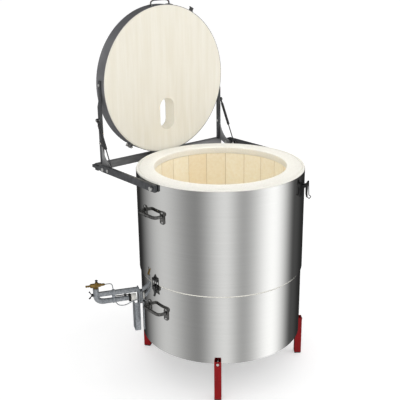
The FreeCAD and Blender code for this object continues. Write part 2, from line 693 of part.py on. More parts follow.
def lid_rivet_places():
    """Azimuth, radius and height of the rivets in the lid's band."""
    foot = math.degrees(math.asin(LID_HANDLE_HALF / LID_RADIUS))
    places = []
    for turn in (-foot, foot):
        for offset in (-PAD_RIVET, PAD_RIVET):
            places.append((270.0 + turn, LID_RADIUS + PAD_SHEET, ARM_MID_Z + offset, PAD_SHEET + BAND_SHEET))
    for offset in CATCH_RIVETS:
        places.append((LATCH_AZIMUTH, LID_RADIUS + PAD_SHEET, BAND_Z + offset, PAD_SHEET + BAND_SHEET))
    return places


def lid_rivet_holes():
    """The holes in the band under the lid's rivets and arm bolts."""
    holes = [rivet_hole(*place) for place in lid_rivet_places()]
    holes += both_sides(arm_bolt_shank(arm_bolt_y()))
    return holes


def lid_arm():
    """The right-hand lid arm: a square tube, and a gusset that leaves it in an arc to the hinge lobe."""
    top = ARM_BOTTOM + ARM_SIZE
    tube = square_tube(ARM_INNER, ARM_OUTER, ARM_FRONT, ARM_END, ARM_BOTTOM, top, TUBE_WALL, "y")
    cap = box(ARM_INNER, ARM_OUTER, ARM_FRONT - 1.5, ARM_FRONT, ARM_BOTTOM, top)
    x = gusset_inner()
    start = Vec(x, PIVOT_Y - GUSSET_REACH, ARM_BOTTOM + 0.8)
    lobe_front = Vec(x, PIVOT_Y - HINGE_LOBE, PIVOT_Z)
    lobe_back = Vec(x, PIVOT_Y + HINGE_LOBE, PIVOT_Z)
    run, drop = lobe_front.y - start.y, start.z - lobe_front.z
    sweep = (run ** 2 + drop ** 2) / (2 * drop)
    half_turn = math.asin(min(1.0, run / sweep)) / 2
    crown = start + Vec(0, sweep * math.sin(half_turn), sweep * (math.cos(half_turn) - 1))
    edges = [Part.Arc(start, crown, lobe_front).toShape(),
             Part.Arc(lobe_front, Vec(x, PIVOT_Y, PIVOT_Z - HINGE_LOBE), lobe_back).toShape(),
             Part.makeLine(lobe_back, Vec(x, ARM_END, ARM_BOTTOM + 0.8)),
             Part.makeLine(Vec(x, ARM_END, ARM_BOTTOM + 0.8), start)]
    gusset = Part.Face(Part.Wire(edges)).extrude(Vec(GUSSET_THICKNESS, 0, 0))
    bores = [rod(HINGE_PIN + HINGE_RUN, Vec(x - 1, PIVOT_Y, PIVOT_Z), Vec(ARM_OUTER + 1, PIVOT_Y, PIVOT_Z)),
             arm_bolt_shank(arm_bolt_y()), arm_bolt_shank(gusset_bolt_y()),
             rod(SPRING_STUD, Vec(ARM_INNER, spring_top_y(), ARM_MID_Z),
                 Vec(ARM_OUTER, spring_top_y(), ARM_MID_Z))]
    return lid_up(tube.fuse([cap, gusset]).cut(group(bores)))


def arm_bolt_y():
    """The bolt through the lid's band, at the arm's front end."""
    return ARM_FRONT + 15.0


def gusset_bolt_y():
    """The bolt near the gusset's front corner."""
    return PIVOT_Y - GUSSET_REACH


def spring_top_y():
    """Where the gas spring's stud sits on the closed arm."""
    return PIVOT_Y - SPRING_ARM


def arm_bolt_shank(y):
    """The shank of a bolt through the arm and the band."""
    return rod(SCREW_RADIUS, Vec(LID_RADIUS - BAND_SHEET, y, ARM_MID_Z), Vec(ARM_OUTER, y, ARM_MID_Z))


def arm_bolts():
    """Two bolts through the right-hand arm: one into the band, one above the gusset."""
    z = ARM_MID_Z
    band_bolt = arm_bolt_shank(arm_bolt_y()).fuse(
        hex_head(SCREW_HEAD, Vec(ARM_OUTER, arm_bolt_y(), z), Vec(ARM_OUTER + SCREW_RADIUS, arm_bolt_y(), z)))
    y = gusset_bolt_y()
    proud = SCREW_RADIUS + 1
    gusset_bolt = rod(SCREW_RADIUS, Vec(ARM_INNER - proud, y, z), Vec(ARM_OUTER + proud, y, z)).fuse(
        [hex_head(SCREW_HEAD, Vec(ARM_OUTER, y, z), Vec(ARM_OUTER + SCREW_RADIUS, y, z)),
         hex_head(SCREW_HEAD, Vec(ARM_INNER, y, z), Vec(ARM_INNER - SCREW_RADIUS, y, z))])
    return [lid_up(band_bolt), lid_up(gusset_bolt)]


def arm_stud():
    """The stud on the right-hand arm that the top of the gas spring follows."""
    y, z = spring_top_y(), ARM_MID_Z
    reach = EYE_INNER - SPRING_CLEAR
    shank = rod(SPRING_STUD, Vec(ARM_INNER, y, z), Vec(ARM_OUTER, y, z))
    spacer = rod(6.0, Vec(ARM_OUTER, y, z), Vec(reach, y, z))
    head = hex_head(6.5, Vec(ARM_INNER, y, z), Vec(ARM_INNER - 4, y, z))
    return lid_up(shank.fuse([spacer, head]))


# Gas springs, built along +Z from the lower eye and then aimed at the upper stud

def spring_vector():
    """From the lower stud to the upper one with the lid open."""
    top = Part.Vertex(Vec(0, spring_top_y(), ARM_MID_Z))
    top.rotate(Vec(0, PIVOT_Y, PIVOT_Z), Vec(1, 0, 0), -OPEN_ANGLE)
    return top.Point - Vec(0, SPRING_LOW_Y, SPRING_LOW_Z)


def aimed(shape):
    """Place a spring piece on the right-hand side bar, pointing at the arm's stud."""
    placed = shape.copy()
    turn = FreeCAD.Rotation(Vec(0, 0, 1), spring_vector())
    placed.Placement = FreeCAD.Placement(Vec(EYE_MID, SPRING_LOW_Y, SPRING_LOW_Z), turn)
    return placed


def spring_rod():
    """The polished rod with its lower eye."""
    half = SPRING_EYE / 2
    visible = spring_vector().Length - SPRING_BODY_LENGTH
    shaft = Part.makeCylinder(SPRING_ROD, visible + 20 - 6, Vec(0, 0, 6))
    eye = rod(SPRING_EYE, Vec(-half, 0, 0), Vec(half, 0, 0))
    bore = rod(SPRING_STUD + HINGE_RUN, Vec(-half - 1, 0, 0), Vec(half + 1, 0, 0))
    return aimed(shaft.fuse(eye).cut(bore))


def spring_cylinder():
    """The pressure tube, bored for the rod, with a headed eye beside the arm's stud."""
    length = spring_vector().Length
    low = length - SPRING_BODY_LENGTH
    half = SPRING_EYE / 2
    r = SPRING_BODY
    profile = [(0, low), (r - 1, low), (r, low + 2), (r, length - 20),
               (half, length - 15), (half, length - 4), (0, length - 4)]
    eye = rod(SPRING_EYE, Vec(-half, 0, length), Vec(half, 0, length))
    head = hex_head(6.5, Vec(half, 0, length), Vec(half + 4, 0, length))
    bore = Part.makeCylinder(SPRING_ROD + HINGE_RUN, SPRING_STROKE + 24, Vec(0, 0, low))
    return aimed(revolved(profile).fuse([eye, head]).cut(bore))


# The burner, built firing along +X with its axis on y = 0

def burner_placed(shape):
    """Move a burner piece from its own axis to its place beside the kiln."""
    placed = shape.copy()
    placed.translate(Vec(0, BURNER_OFFSET, 0))
    return around(placed, BURNER_ANGLE)


def port_cutter(radius):
    """The round way from outside the casing into the chamber."""
    start = Vec(-UPPER_RADIUS - 20, 0, BURNER_Z)
    return burner_placed(rod(radius, start, Vec(-CHAMBER_RADIUS * 0.55, 0, BURNER_Z)))


def first_port_brick():
    """Number of the first of the two neighbouring bricks that the port runs between."""
    middle = (CHAMBER_RADIUS + LOWER_RADIUS) / 2
    inward = -math.sqrt(middle ** 2 - BURNER_OFFSET ** 2)
    azimuth = math.degrees(math.atan2(BURNER_OFFSET, inward)) + BURNER_ANGLE
    return int((azimuth - FIRST_JOINT) * BRICKS_PER_RING / 360.0 - 0.5)


def port_tube():
    """The short steel tube that lines the port and carries the burner plate."""
    start = -(PLATE_X - PLATE_SHEET)
    end = -CHAMBER_RADIUS - 8
    tube = rod(PORT_RADIUS - SKIN_GAP, Vec(start, 0, BURNER_Z), Vec(end, 0, BURNER_Z))
    return burner_placed(tube.cut(rod(PORT_TUBE, Vec(start - 1, 0, BURNER_Z), Vec(end + 1, 0, BURNER_Z))))


def burner_plate():
    """A folded channel: its inner flange runs up behind the burner, its foot angles in under the kiln."""
    low, high, half = PLATE_BOTTOM_Z, PLATE_TOP_Z, PLATE_HALF
    channel_top = BURNER_Z - CUP_RADIUS - PROBE_RADIUS
    outline = [(-half, low), (half, low), (half, high - 6),
               (half - 6, high), (6 - half, high), (-half, high - 6)]
    plate = polygon_face([Vec(-PLATE_X, y, z) for y, z in outline]).extrude(Vec(PLATE_SHEET, 0, 0))
    window = rod(CUP_RADIUS + 2, Vec(-PLATE_X - 1, 0, BURNER_Z), Vec(-PLATE_X + PLATE_SHEET + 1, 0, BURNER_Z))
    outer = -PLATE_X - CHANNEL_DEPTH
    web = box(outer, -PLATE_X, half - CHANNEL_SHEET, half, low, channel_top)
    flange = box(outer, outer + CHANNEL_SHEET, -half, half, low, channel_top)
    foot_half = half - CHANNEL_SHEET
    foot = box(-PLATE_X, -PLATE_X + FOOT_REACH, -foot_half, foot_half, LEG_LIFT - PLATE_SHEET, LEG_LIFT)
    return burner_placed(plate.cut(window).fuse([web, flange, foot]).removeSplitter())


def stay_tube():
    """The stout tube that carries the riser from the burner plate."""
    z = BURNER_Z + STAY_LIFT
    tube = rod(STAY_RADIUS, Vec(-RISER_X, 0, z), Vec(-PLATE_X, 0, z))
    bore = rod(STAY_RADIUS - TUBE_WALL, Vec(-RISER_X + 30, 0, z), Vec(-PLATE_X, 0, z))
    return burner_placed(tube.cut(riser_outline()).cut(bore))


def riser_outline():
    """The riser's outer cylinder, which other pieces are cut to."""
    return Part.makeCylinder(RISER_RADIUS + SKIN_GAP, VALVE_Z - BURNER_Z, Vec(-RISER_X, 0, BURNER_Z))


def mixing_pipe():
    """Riser, elbow and mixing pipe in one: the gas comes down, mixes with air and fires along the axis."""
    bend_top = Vec(-RISER_X, 0, BURNER_Z + ELBOW_BEND + 12)
    path = [bend_top, Vec(-RISER_X, 0, BURNER_Z), Vec(-cup_x() - RING_LENGTH / 2, 0, BURNER_Z)]
    pipe = bent_bar(path, PIPE_RADIUS, ELBOW_BEND)
    low = BURNER_Z + ELBOW_BEND - 6
    top = VALVE_Z - 10
    r = RISER_RADIUS
    riser = revolved([(0, low), (r - 2, low), (r, low + 4), (r, top - 3), (r - 2, top), (0, top)])
    riser.translate(Vec(-RISER_X, 0, 0))
    return burner_placed(pipe.fuse(riser))


def cup_x():
    """Distance from the kiln's axis to the cup's back face."""
    return PLATE_X + CUP_GAP + CUP_LENGTH


def flame_cup():
    """The ceramic flame cup in front of the port, flared at its mouth."""
    back = -cup_x()
    r = CUP_RADIUS
    jet = PIPE_RADIUS - 4
    profile = [(jet, 0), (r - 2, 0), (r, 4), (r, CUP_LENGTH), (r - 3, CUP_LENGTH), (r - 4.5, 9), (jet, 7)]
    cup = revolved(profile)
    return burner_placed(laid_along_x(cup, Vec(back, 0, BURNER_Z)))


def cup_ring():
    """The dark steel ring that seats the cup on the mixing pipe."""
    start = -cup_x() - RING_LENGTH
    bore, rim = PIPE_RADIUS + HINGE_RUN, CUP_RADIUS + 1
    profile = [(bore, 0), (rim - 2, 0), (rim, 2), (rim, RING_LENGTH), (bore, RING_LENGTH)]
    collar = revolved(profile)
    return burner_placed(laid_along_x(collar, Vec(start, 0, BURNER_Z)))


CLAMP_X = PLATE_X + 101.0
CLAMP_LENGTH = 12.0


def tube_clamp():
    """A two-way saddle that ties the stay tube to the mixing pipe and holds the pilot tube between them."""
    x0, x1 = -CLAMP_X - CLAMP_LENGTH / 2, -CLAMP_X + CLAMP_LENGTH / 2
    high = BURNER_Z + STAY_LIFT
    upper = rod(STAY_RADIUS + 3, Vec(x0, 0, high), Vec(x1, 0, high))
    lower = rod(PIPE_RADIUS + 3, Vec(x0, 0, BURNER_Z), Vec(x1, 0, BURNER_Z))
    web = box(x0, x1, -5, 5, BURNER_Z, high)
    bores = [rod(STAY_RADIUS + HINGE_RUN, Vec(x0 - 1, 0, high), Vec(x1 + 1, 0, high)),
             rod(PIPE_RADIUS + HINGE_RUN, Vec(x0 - 1, 0, BURNER_Z), Vec(x1 + 1, 0, BURNER_Z))]
    pilot_z = BURNER_Z + PILOT_LIFT
    pilot_end = -cup_x() - RING_LENGTH - PROBE_GAP
    pilot = rod(PILOT_RADIUS, Vec(x1, 0, pilot_z), Vec(pilot_end, 0, pilot_z))
    sleeve = rod(PILOT_RADIUS + 1.5, Vec(pilot_end - 14, 0, pilot_z), Vec(pilot_end - 6, 0, pilot_z))
    return burner_placed(upper.fuse([lower, web]).cut(group(bores)).fuse([pilot, sleeve]))


def safety_valve():
    """The brass flame-failure valve on the riser: a turned body with a hose nipple and a probe nut."""
    x = -RISER_X
    z = VALVE_Z
    nipple = [(0, -38), (3.4, -38), (4.6, -35), (3.2, -31), (4.6, -28), (3.2, -24), (4.6, -22)]
    barrel = [(7.5, -20), (8.5, -17), (8.5, 12), (7, 16), (7, 20)]
    nut = [(5, 21), (5, VALVE_NUT - 4), (4, VALVE_NUT), (0, VALVE_NUT)]
    profile = nipple + barrel + nut
    body = revolved(profile)
    body = laid_along_x(body, Vec(x, 0, z))
    seat = hex_head(9.5, Vec(x, 0, VALVE_Z - 10), Vec(x, 0, z))
    tower = Part.makeCylinder(6.0, 13, Vec(x + 4, 0, z))
    bore = Part.makeCylinder(3.0 + HINGE_RUN, 9, Vec(x + 4, 0, z + 6))
    return burner_placed(body.fuse([seat, tower]).cut(bore))


def safety_button():
    """The push button that opens the valve while the probe warms up."""
    x = -RISER_X + 4
    top = VALVE_Z + 13
    stem = Part.makeCylinder(3.0, 4 + BUTTON_TRAVEL + 1, Vec(x, 0, top - 1))
    cap = Part.makeCylinder(5.5, 4, Vec(x, 0, top + BUTTON_TRAVEL + 0.4))
    return burner_placed(stem.fuse(cap))


def air_wheel():
    """The three-spoked wheel that sets the burner, turning on a spindle behind the riser."""
    z = BURNER_Z + STAY_LIFT
    back = -RISER_X - RISER_RADIUS - WHEEL_GAP - 8
    hub = rod(6.0, Vec(back, 0, z), Vec(back + 8, 0, z))
    spokes = []
    for k in range(3):
        turn = math.radians(90 + 120 * k)
        tip = Vec(back + 4, 18 * math.cos(turn), z + 18 * math.sin(turn))
        spokes.append(rod(2.0, Vec(back + 4, 0, z), tip))
        spokes.append(Part.makeSphere(3.2, tip))
    spindle = rod(SPINDLE_RADIUS, Vec(back, 0, z), Vec(-RISER_X, 0, z))
    return burner_placed(hub.fuse(spokes + [spindle]))


def spindle_bore():
    """The hole in the riser's wall for the wheel's spindle."""
    z = BURNER_Z + STAY_LIFT
    start = Vec(-RISER_X - RISER_RADIUS - 5, 0, z)
    return burner_placed(rod(SPINDLE_RADIUS + HINGE_RUN, start, Vec(-RISER_X + 1, 0, z)))


def probe_tube():
    """The flame probe's thin tube, bent by hand from the valve down beside the pipes to the cup."""
    valve_end = -RISER_X + VALVE_NUT
    tip = -PLATE_X - PROBE_GAP
    beside = CUP_RADIUS + PROBE_RADIUS + 1
    tip_z = BURNER_Z - 5
    bends = [(130, 0, 70), (120, -4, 66), (111, -12, 55), (106, -16.5, 40), (101, -17.5, 24), (96, -17, 8),
             (90, -15, -7), (82, -11, -21), (70, -7, -30), (56, -6, -33), (41, -9, -28), (28, -14, -17)]
    route = [(valve_end, 0, VALVE_Z)]
    route += [(-PLATE_X - back, side, BURNER_Z + rise) for back, side, rise in bends]
    route += [(-PLATE_X - 15, -beside, tip_z), (tip, -beside, tip_z)]
    path = [Vec(*point) for point in route]
    return burner_placed(bent_bar(path, PROBE_RADIUS))


def build_parts():
    """Every node of the kiln by name."""
    lower_bolts = list(LEG_AZIMUTHS.values())
    handle_places = []
    for azimuth in SIDES.values():
        handle_places += handle_rivets(azimuth, UPPER_RADIUS, UPPER_HANDLE_Z)
    lower_handle_places = []
    for azimuth in SIDES.values():
        lower_handle_places += handle_rivets(azimuth, LOWER_RADIUS, LOWER_HANDLE_Z)
    lower_laps = lap_rivets(LOWER_RADIUS, LEG_LIFT, LOWER_TOP)
    upper_laps = lap_rivets(UPPER_RADIUS, UPPER_BOTTOM, CASING_TOP)
    lower_places = lower_handle_places + lower_laps
    upper_places = handle_places + upper_laps

    port = port_cutter(PORT_RADIUS)
    lower_holes = [rivet_hole(*place) for place in lower_places]
    lower_holes += [leg_bolt_hole(azimuth) for azimuth in lower_bolts] + [port]
    upper_holes = [rivet_hole(*place) for place in upper_places]
    upper_holes += both_sides(rod(HINGE_PIN, Vec(frame_bolt_end() - 3, frame_bolt_y(), bar_mid()),
                                  Vec(BAR_OUTER, frame_bolt_y(), bar_mid())))
    lower_inner = LOWER_RADIUS - SHEET - SKIN_GAP
    upper_inner = UPPER_RADIUS - SHEET - SKIN_GAP
    lower_brick = lower_inner - BLANKET - SKIN_GAP
    upper_brick = upper_inner - BLANKET - SKIN_GAP
    lower_bricks = [brick.cut(port) for brick in brick_ring(FLOOR_Z, LOWER_TOP, lower_brick)]
    bored = first_port_brick()

    parts = {
        "base_plate": Part.makeCylinder(lower_inner, BASE_SHEET, Vec(0, 0, LEG_LIFT)),
        "floor_slab": Part.makeCylinder(lower_inner, SLAB_THICKNESS, Vec(0, 0, LEG_LIFT + BASE_SHEET)),
        "lower_casing": casing(LOWER_RADIUS, LEG_LIFT, LOWER_TOP, lower_holes),
        "lower_blanket": ring(lower_inner, lower_brick + SKIN_GAP, FLOOR_Z, LOWER_TOP).cut(port),
        "lower_wall_bricks": group(lower_bricks[:bored] + lower_bricks[bored + 2:]),
        "port_brick_a": lower_bricks[bored],
        "port_brick_b": lower_bricks[bored + 1],
        "seam_gasket": ring(LOWER_RADIUS, CHAMBER_RADIUS, LOWER_TOP, UPPER_BOTTOM),
        "upper_casing": casing(UPPER_RADIUS, UPPER_BOTTOM, CASING_TOP, upper_holes),
        "upper_blanket": ring(upper_inner, upper_brick + SKIN_GAP, UPPER_BOTTOM, RIM_Z),
        "upper_wall_bricks": group(brick_ring(UPPER_BOTTOM, COLLAR_Z, upper_brick)),
        "rim_collar": ring(upper_brick, CHAMBER_RADIUS, COLLAR_Z, RIM_Z),
        "leg_caps": group([leg_cap(azimuth) for azimuth in lower_bolts]),
        "cross_bar": cross_bar(),
        "side_bar_right": side_bar(),
        "side_bar_left": mirrored(side_bar()),
        "hinge_pins": group(both_sides(hinge_pin())),
        "spring_studs": group(both_sides(spring_stud())),
        "lid_insulation": lid_insulation(),
        "lid_top_sheet": lid_top_sheet(),
        "lid_band": lid_band(),
        "band_clamp_screw": band_clamp_screw(),
        "lid_handle": lid_handle(),
        "lid_catch": lid_catch(),
        "lid_arm_right": lid_arm(),
        "lid_arm_left": mirrored(lid_arm()),
        "lid_fasteners": group([lid_up(rivet(*place)) for place in lid_rivet_places()]
                               + [side for bolt in arm_bolts() for side in both_sides(bolt)]
                               + both_sides(arm_stud())),
        "gas_spring_rod_right": spring_rod(),
        "gas_spring_rod_left": mirrored(spring_rod()),
        "gas_spring_cylinder_right": spring_cylinder(),
        "gas_spring_cylinder_left": mirrored(spring_cylinder()),
        "latch_base": latch_base(),
        "latch_lever": latch_lever(),
        "latch_bail": latch_bail(),
        "burner_port_tube": port_tube(),
        "burner_plate": burner_plate(),
        "burner_stay_tube": stay_tube(),
        "burner_mixing_pipe": mixing_pipe().cut(spindle_bore()),
        "burner_cup_ring": cup_ring(),
        "burner_flame_cup": flame_cup(),
        "burner_tube_clamp": tube_clamp(),
        "gas_safety_valve": safety_valve(),
        "safety_button": safety_button(),
        "air_wheel": air_wheel(),
        "flame_probe_tube": probe_tube(),
    }
    for name, azimuth in LEG_AZIMUTHS.items():
        parts["leg_" + name] = leg(azimuth)
    for name, azimuth in SIDES.items():
        parts["upper_handle_" + name] = bow_handle(azimuth, UPPER_RADIUS, UPPER_HANDLE_Z)
        parts["lower_handle_" + name] = bow_handle(azimuth, LOWER_RADIUS, LOWER_HANDLE_Z)
        parts["toggle_base_" + name] = toggle_base(azimuth)
        parts["toggle_lever_" + name] = toggle_lever(azimuth)
        parts["toggle_bail_" + name] = toggle_bail(azimuth)
        parts["toggle_keeper_" + name] = toggle_keeper(azimuth)
    parts["casing_fasteners"] = group([rivet(*place) for place in lower_places + upper_places]
                                      + [leg_bolt(azimuth) for azimuth in lower_bolts]
                                      + both_sides(frame_bolt()))
    return parts


os.makedirs("parts", exist_ok=True)
for node, shape in build_parts().items():
    shape.exportStep("parts/" + node + ".step")
    print(node, len(shape.Solids), "solids", round(shape.Volume / 1000.0, 1), "cm3")
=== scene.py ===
# %% [markdown]
# A raku kiln as it stands in a studio picture: a round, steel-cased brick chamber on red legs with its lid
# swung up on two gas springs. The solids come from the CAD frame. This scene gives each of them its finish,
# and redraws the thin sheet skins, the rim and the slim parts of the lid's frame with soft edges.

# %% Frame
import json
import math
import bmesh
import bpy
import numpy as np
from mathutils import Matrix, Vector

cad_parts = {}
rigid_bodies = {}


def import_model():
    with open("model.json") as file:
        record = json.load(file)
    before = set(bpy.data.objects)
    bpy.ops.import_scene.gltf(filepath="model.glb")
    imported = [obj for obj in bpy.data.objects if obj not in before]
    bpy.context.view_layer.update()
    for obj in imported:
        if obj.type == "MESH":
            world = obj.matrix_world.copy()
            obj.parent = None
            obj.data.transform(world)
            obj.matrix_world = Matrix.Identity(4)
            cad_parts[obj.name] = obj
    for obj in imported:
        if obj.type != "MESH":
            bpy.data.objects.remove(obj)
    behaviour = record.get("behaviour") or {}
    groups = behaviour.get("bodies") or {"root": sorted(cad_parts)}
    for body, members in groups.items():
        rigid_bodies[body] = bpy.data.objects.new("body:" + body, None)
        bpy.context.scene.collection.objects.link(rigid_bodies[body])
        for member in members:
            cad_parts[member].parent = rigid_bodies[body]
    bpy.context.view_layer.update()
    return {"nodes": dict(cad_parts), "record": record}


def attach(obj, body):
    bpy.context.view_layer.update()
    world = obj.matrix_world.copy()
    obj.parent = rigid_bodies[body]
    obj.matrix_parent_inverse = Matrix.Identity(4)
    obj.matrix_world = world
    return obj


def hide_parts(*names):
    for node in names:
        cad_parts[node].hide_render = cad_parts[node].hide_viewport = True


for leftover in list(bpy.data.objects):
    bpy.data.objects.remove(leftover)
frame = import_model()
nodes = frame["nodes"]
scene = bpy.context.scene
print("frame loaded with", len(nodes), "nodes")

# %% [markdown]
# The finishes are plain Principled materials. What varies over a surface comes from a few shared groups that
# read Object coordinates: a grain stretched along one direction, as brushing and board fibres leave it, and
# the tone of each brick, which is a random step for each 18 degree wedge with a darker line at the joints.

# %% Shared texture groups
BRICK_PITCH = 18.0           # degrees
FIRST_JOINT = 8.0            # azimuth of one joint, degrees
POSITIVE = 40.0              # whole wedges added, so that no wedge has a negative number
JOINT_FROM_MIDDLE = 0.487    # a joint starts this share of a wedge from its middle


def linear(*rgb):
    """A colour on screen (0 to 255) as the linear one a shader takes: ((c + 0.055) / 1.055) ** 2.4."""
    out = []
    for value in rgb:
        c = value / 255.0
        out.append(c / 12.92 if c <= 0.04045 else ((c + 0.055) / 1.055) ** 2.4)
    return (*out, 1.0)


def start_group(name, inputs, outputs):
    """An empty node group with the named sockets, and its input and output nodes."""
    group = bpy.data.node_groups.new(name, "ShaderNodeTree")
    for label, kind, value in inputs:
        socket = group.interface.new_socket(label, in_out="INPUT", socket_type=kind)
        socket.default_value = value
    for label, kind in outputs:
        group.interface.new_socket(label, in_out="OUTPUT", socket_type=kind)
    return group, group.nodes.new("NodeGroupInput"), group.nodes.new("NodeGroupOutput")


def math_node(tree, operation, a, b=None):
    """One Math node whose inputs are numbers or sockets."""
    node = tree.nodes.new("ShaderNodeMath")
    node.operation = operation
    for index, value in enumerate((a, b)):
        if value is None:
            continue
        if isinstance(value, (int, float)):
            node.inputs[index].default_value = value
        else:
            tree.links.new(value, node.inputs[index])
    return node.outputs[0]


def grain_group():
    """Noise on Object coordinates, stretched by a vector: large numbers squeeze it along that axis."""
    group, given, made = start_group("grain", [("Stretch", "NodeSocketVector", (4, 4, 4)),
                                               ("Detail", "NodeSocketFloat", 3.0)],
                                     [("Value", "NodeSocketFloat")])
    coords = group.nodes.new("ShaderNodeTexCoord")
    scale = group.nodes.new("ShaderNodeVectorMath")
    scale.operation = "MULTIPLY"
    noise = group.nodes.new("ShaderNodeTexNoise")
    noise.inputs["Scale"].default_value = 1.0
    group.links.new(coords.outputs["Object"], scale.inputs[0])
    group.links.new(given.outputs["Stretch"], scale.inputs[1])
    group.links.new(scale.outputs[0], noise.inputs["Vector"])
    group.links.new(given.outputs["Detail"], noise.inputs["Detail"])
    group.links.new(noise.outputs["Fac"], made.inputs["Value"])
    return group


def brick_group():
    """Tone: a random number per wedge. Joint: 1 on the joints. Wedge = (azimuth - first joint) / pitch."""
    group, _, made = start_group("brick_wedges", [],
                                 [("Tone", "NodeSocketFloat"), ("Joint", "NodeSocketFloat")])
    coords = group.nodes.new("ShaderNodeTexCoord")
    split = group.nodes.new("ShaderNodeSeparateXYZ")
    group.links.new(coords.outputs["Object"], split.inputs[0])
    turn = math_node(group, "ARCTAN2", split.outputs["Y"], split.outputs["X"])
    degrees = math_node(group, "MULTIPLY", turn, 180.0 / math.pi)
    wedge = math_node(group, "DIVIDE", math_node(group, "SUBTRACT", degrees, FIRST_JOINT), BRICK_PITCH)
    counted = math_node(group, "ADD", wedge, POSITIVE)
    noise = group.nodes.new("ShaderNodeTexWhiteNoise")
    noise.noise_dimensions = "1D"
    group.links.new(math_node(group, "FLOOR", counted), noise.inputs["W"])
    within = math_node(group, "FRACT", counted)
    off_middle = math_node(group, "ABSOLUTE", math_node(group, "SUBTRACT", within, 0.5))
    joint = math_node(group, "GREATER_THAN", off_middle, JOINT_FROM_MIDDLE)
    group.links.new(noise.outputs["Value"], made.inputs["Tone"])
    group.links.new(joint, made.inputs["Joint"])
    return group


GRAIN = grain_group()
BRICKS = brick_group()
print("texture groups:", GRAIN.name, BRICKS.name)

# %% [markdown]
# Each finish has two close colours mixed by its grain, and some have a bump from the same grain. Steel, paint
# and fibre differ in their metallic, roughness and coat values.

# %% Finishes
COAT_ROUGHNESS = 0.12
CONTRAST, LEVEL = 2.6, -0.8      # the grain's value is stretched by these before it mixes the two colours
BUMP_DEPTH = 0.0004              # metres


def finish(name, light, dark, roughness, stretch, metallic=0.0, coat=0.0, bump=0.0, specular=0.5):
    """A material whose colour runs from dark to light with the grain, with a bump of the given strength."""
    material = bpy.data.materials.new(name)
    material.use_nodes = True
    tree = material.node_tree
    shader = tree.nodes["Principled BSDF"]
    shader.inputs["Metallic"].default_value = metallic
    shader.inputs["Roughness"].default_value = roughness
    shader.inputs["Coat Weight"].default_value = coat
    shader.inputs["Coat Roughness"].default_value = COAT_ROUGHNESS
    shader.inputs["Specular IOR Level"].default_value = specular
    grain = tree.nodes.new("ShaderNodeGroup")
    grain.node_tree = GRAIN
    grain.inputs["Stretch"].default_value = stretch
    mix = tree.nodes.new("ShaderNodeMix")
    mix.name = "tone"
    mix.data_type = "RGBA"
    mix.inputs["A"].default_value = linear(*dark)
    mix.inputs["B"].default_value = linear(*light)
    spread = math_node(tree, "MULTIPLY_ADD", grain.outputs["Value"], CONTRAST)
    spread.node.inputs[2].default_value = LEVEL
    spread.node.use_clamp = True
    tree.links.new(spread, mix.inputs["Factor"])
    tree.links.new(mix.outputs["Result"], shader.inputs["Base Color"])
    if bump:
        relief = tree.nodes.new("ShaderNodeBump")
        relief.inputs["Strength"].default_value = bump
        relief.inputs["Distance"].default_value = BUMP_DEPTH
        tree.links.new(grain.outputs["Value"], relief.inputs["Height"])
        tree.links.new(relief.outputs["Normal"], shader.inputs["Normal"])
    return material


def brick_finish():
    """Insulating brick: cream wedges of slightly different tone, fine pits and darker joints."""
    material = finish("insulating brick", (255, 250, 233), (250, 242, 219), 0.95, (90, 90, 90), bump=0.2)
    tree = material.node_tree
    wedges = tree.nodes.new("ShaderNodeGroup")
    wedges.node_tree = BRICKS
    tone = tree.nodes.new("ShaderNodeMix")
    tone.data_type = "RGBA"
    tone.blend_type = "MULTIPLY"
    tone.inputs["B"].default_value = linear(248, 240, 228)
    tree.links.new(wedges.outputs["Tone"], tone.inputs["Factor"])
    tree.links.new(tree.nodes["tone"].outputs["Result"], tone.inputs["A"])
    seam = tree.nodes.new("ShaderNodeMix")
    seam.data_type = "RGBA"
    seam.inputs["B"].default_value = linear(214, 198, 164)
    tree.links.new(wedges.outputs["Joint"], seam.inputs["Factor"])
    tree.links.new(tone.outputs["Result"], seam.inputs["A"])
    tree.links.new(seam.outputs["Result"], tree.nodes["Principled BSDF"].inputs["Base Color"])
    return material


steel = finish("brushed casing steel", (224, 224, 222), (221, 221, 219), 0.06, (3, 3, 250), 1.0)
plain_steel = finish("plain sheet", (190, 190, 188), (170, 170, 168), 0.35, (8, 8, 8), 1.0)
brick = brick_finish()
fibre = finish("pressed fibre", (244, 242, 234), (236, 233, 224), 0.95, (220, 220, 220), bump=0.25)
lid_fibre = finish("lid fibre board", (237, 233, 221), (231, 226, 211), 0.95, (70, 40, 5), bump=0.15)
red_paint = finish("red gloss paint", (142, 8, 16), (124, 6, 12), 0.3, (40, 40, 12), coat=0.06,
                   specular=0.15)
black_plastic = finish("black plastic", (40, 40, 41), (28, 28, 29), 0.5, (200, 200, 200), bump=0.1)
dark_steel = finish("satin dark steel", (78, 79, 82), (58, 59, 62), 0.38, (60, 60, 60), 0.35, coat=0.15)
bright_zinc = finish("bright zinc", (222, 222, 220), (200, 200, 198), 0.28, (150, 150, 150), 1.0)
band_steel = finish("lid band steel", (124, 124, 127), (104, 104, 107), 0.35, (12, 12, 12), 0.3)
gusset_steel = finish("gusset steel", (150, 150, 150), (126, 126, 127), 0.4, (50, 50, 50), 0.3)
bar_steel = finish("cross bar steel", (132, 132, 132), (108, 108, 109), 0.3, (20, 90, 90), 0.3)
dark_chrome = finish("polished dark steel", (128, 127, 125), (84, 84, 83), 0.2, (90, 90, 90), 1.0)
black_paint = finish("satin black", (30, 30, 31), (18, 18, 19), 0.35, (120, 120, 120), coat=0.2)
gloss_black = finish("gloss black tube", (24, 24, 25), (16, 16, 17), 0.25, (60, 60, 60), coat=0.5)
dark_rod = finish("spring rod steel", (92, 92, 94), (70, 70, 72), 0.22, (200, 200, 200), 1.0)
galvanised = finish("galvanised steel", (186, 190, 195), (140, 145, 150), 0.42, (160, 160, 160), 0.75,
                    bump=0.1)
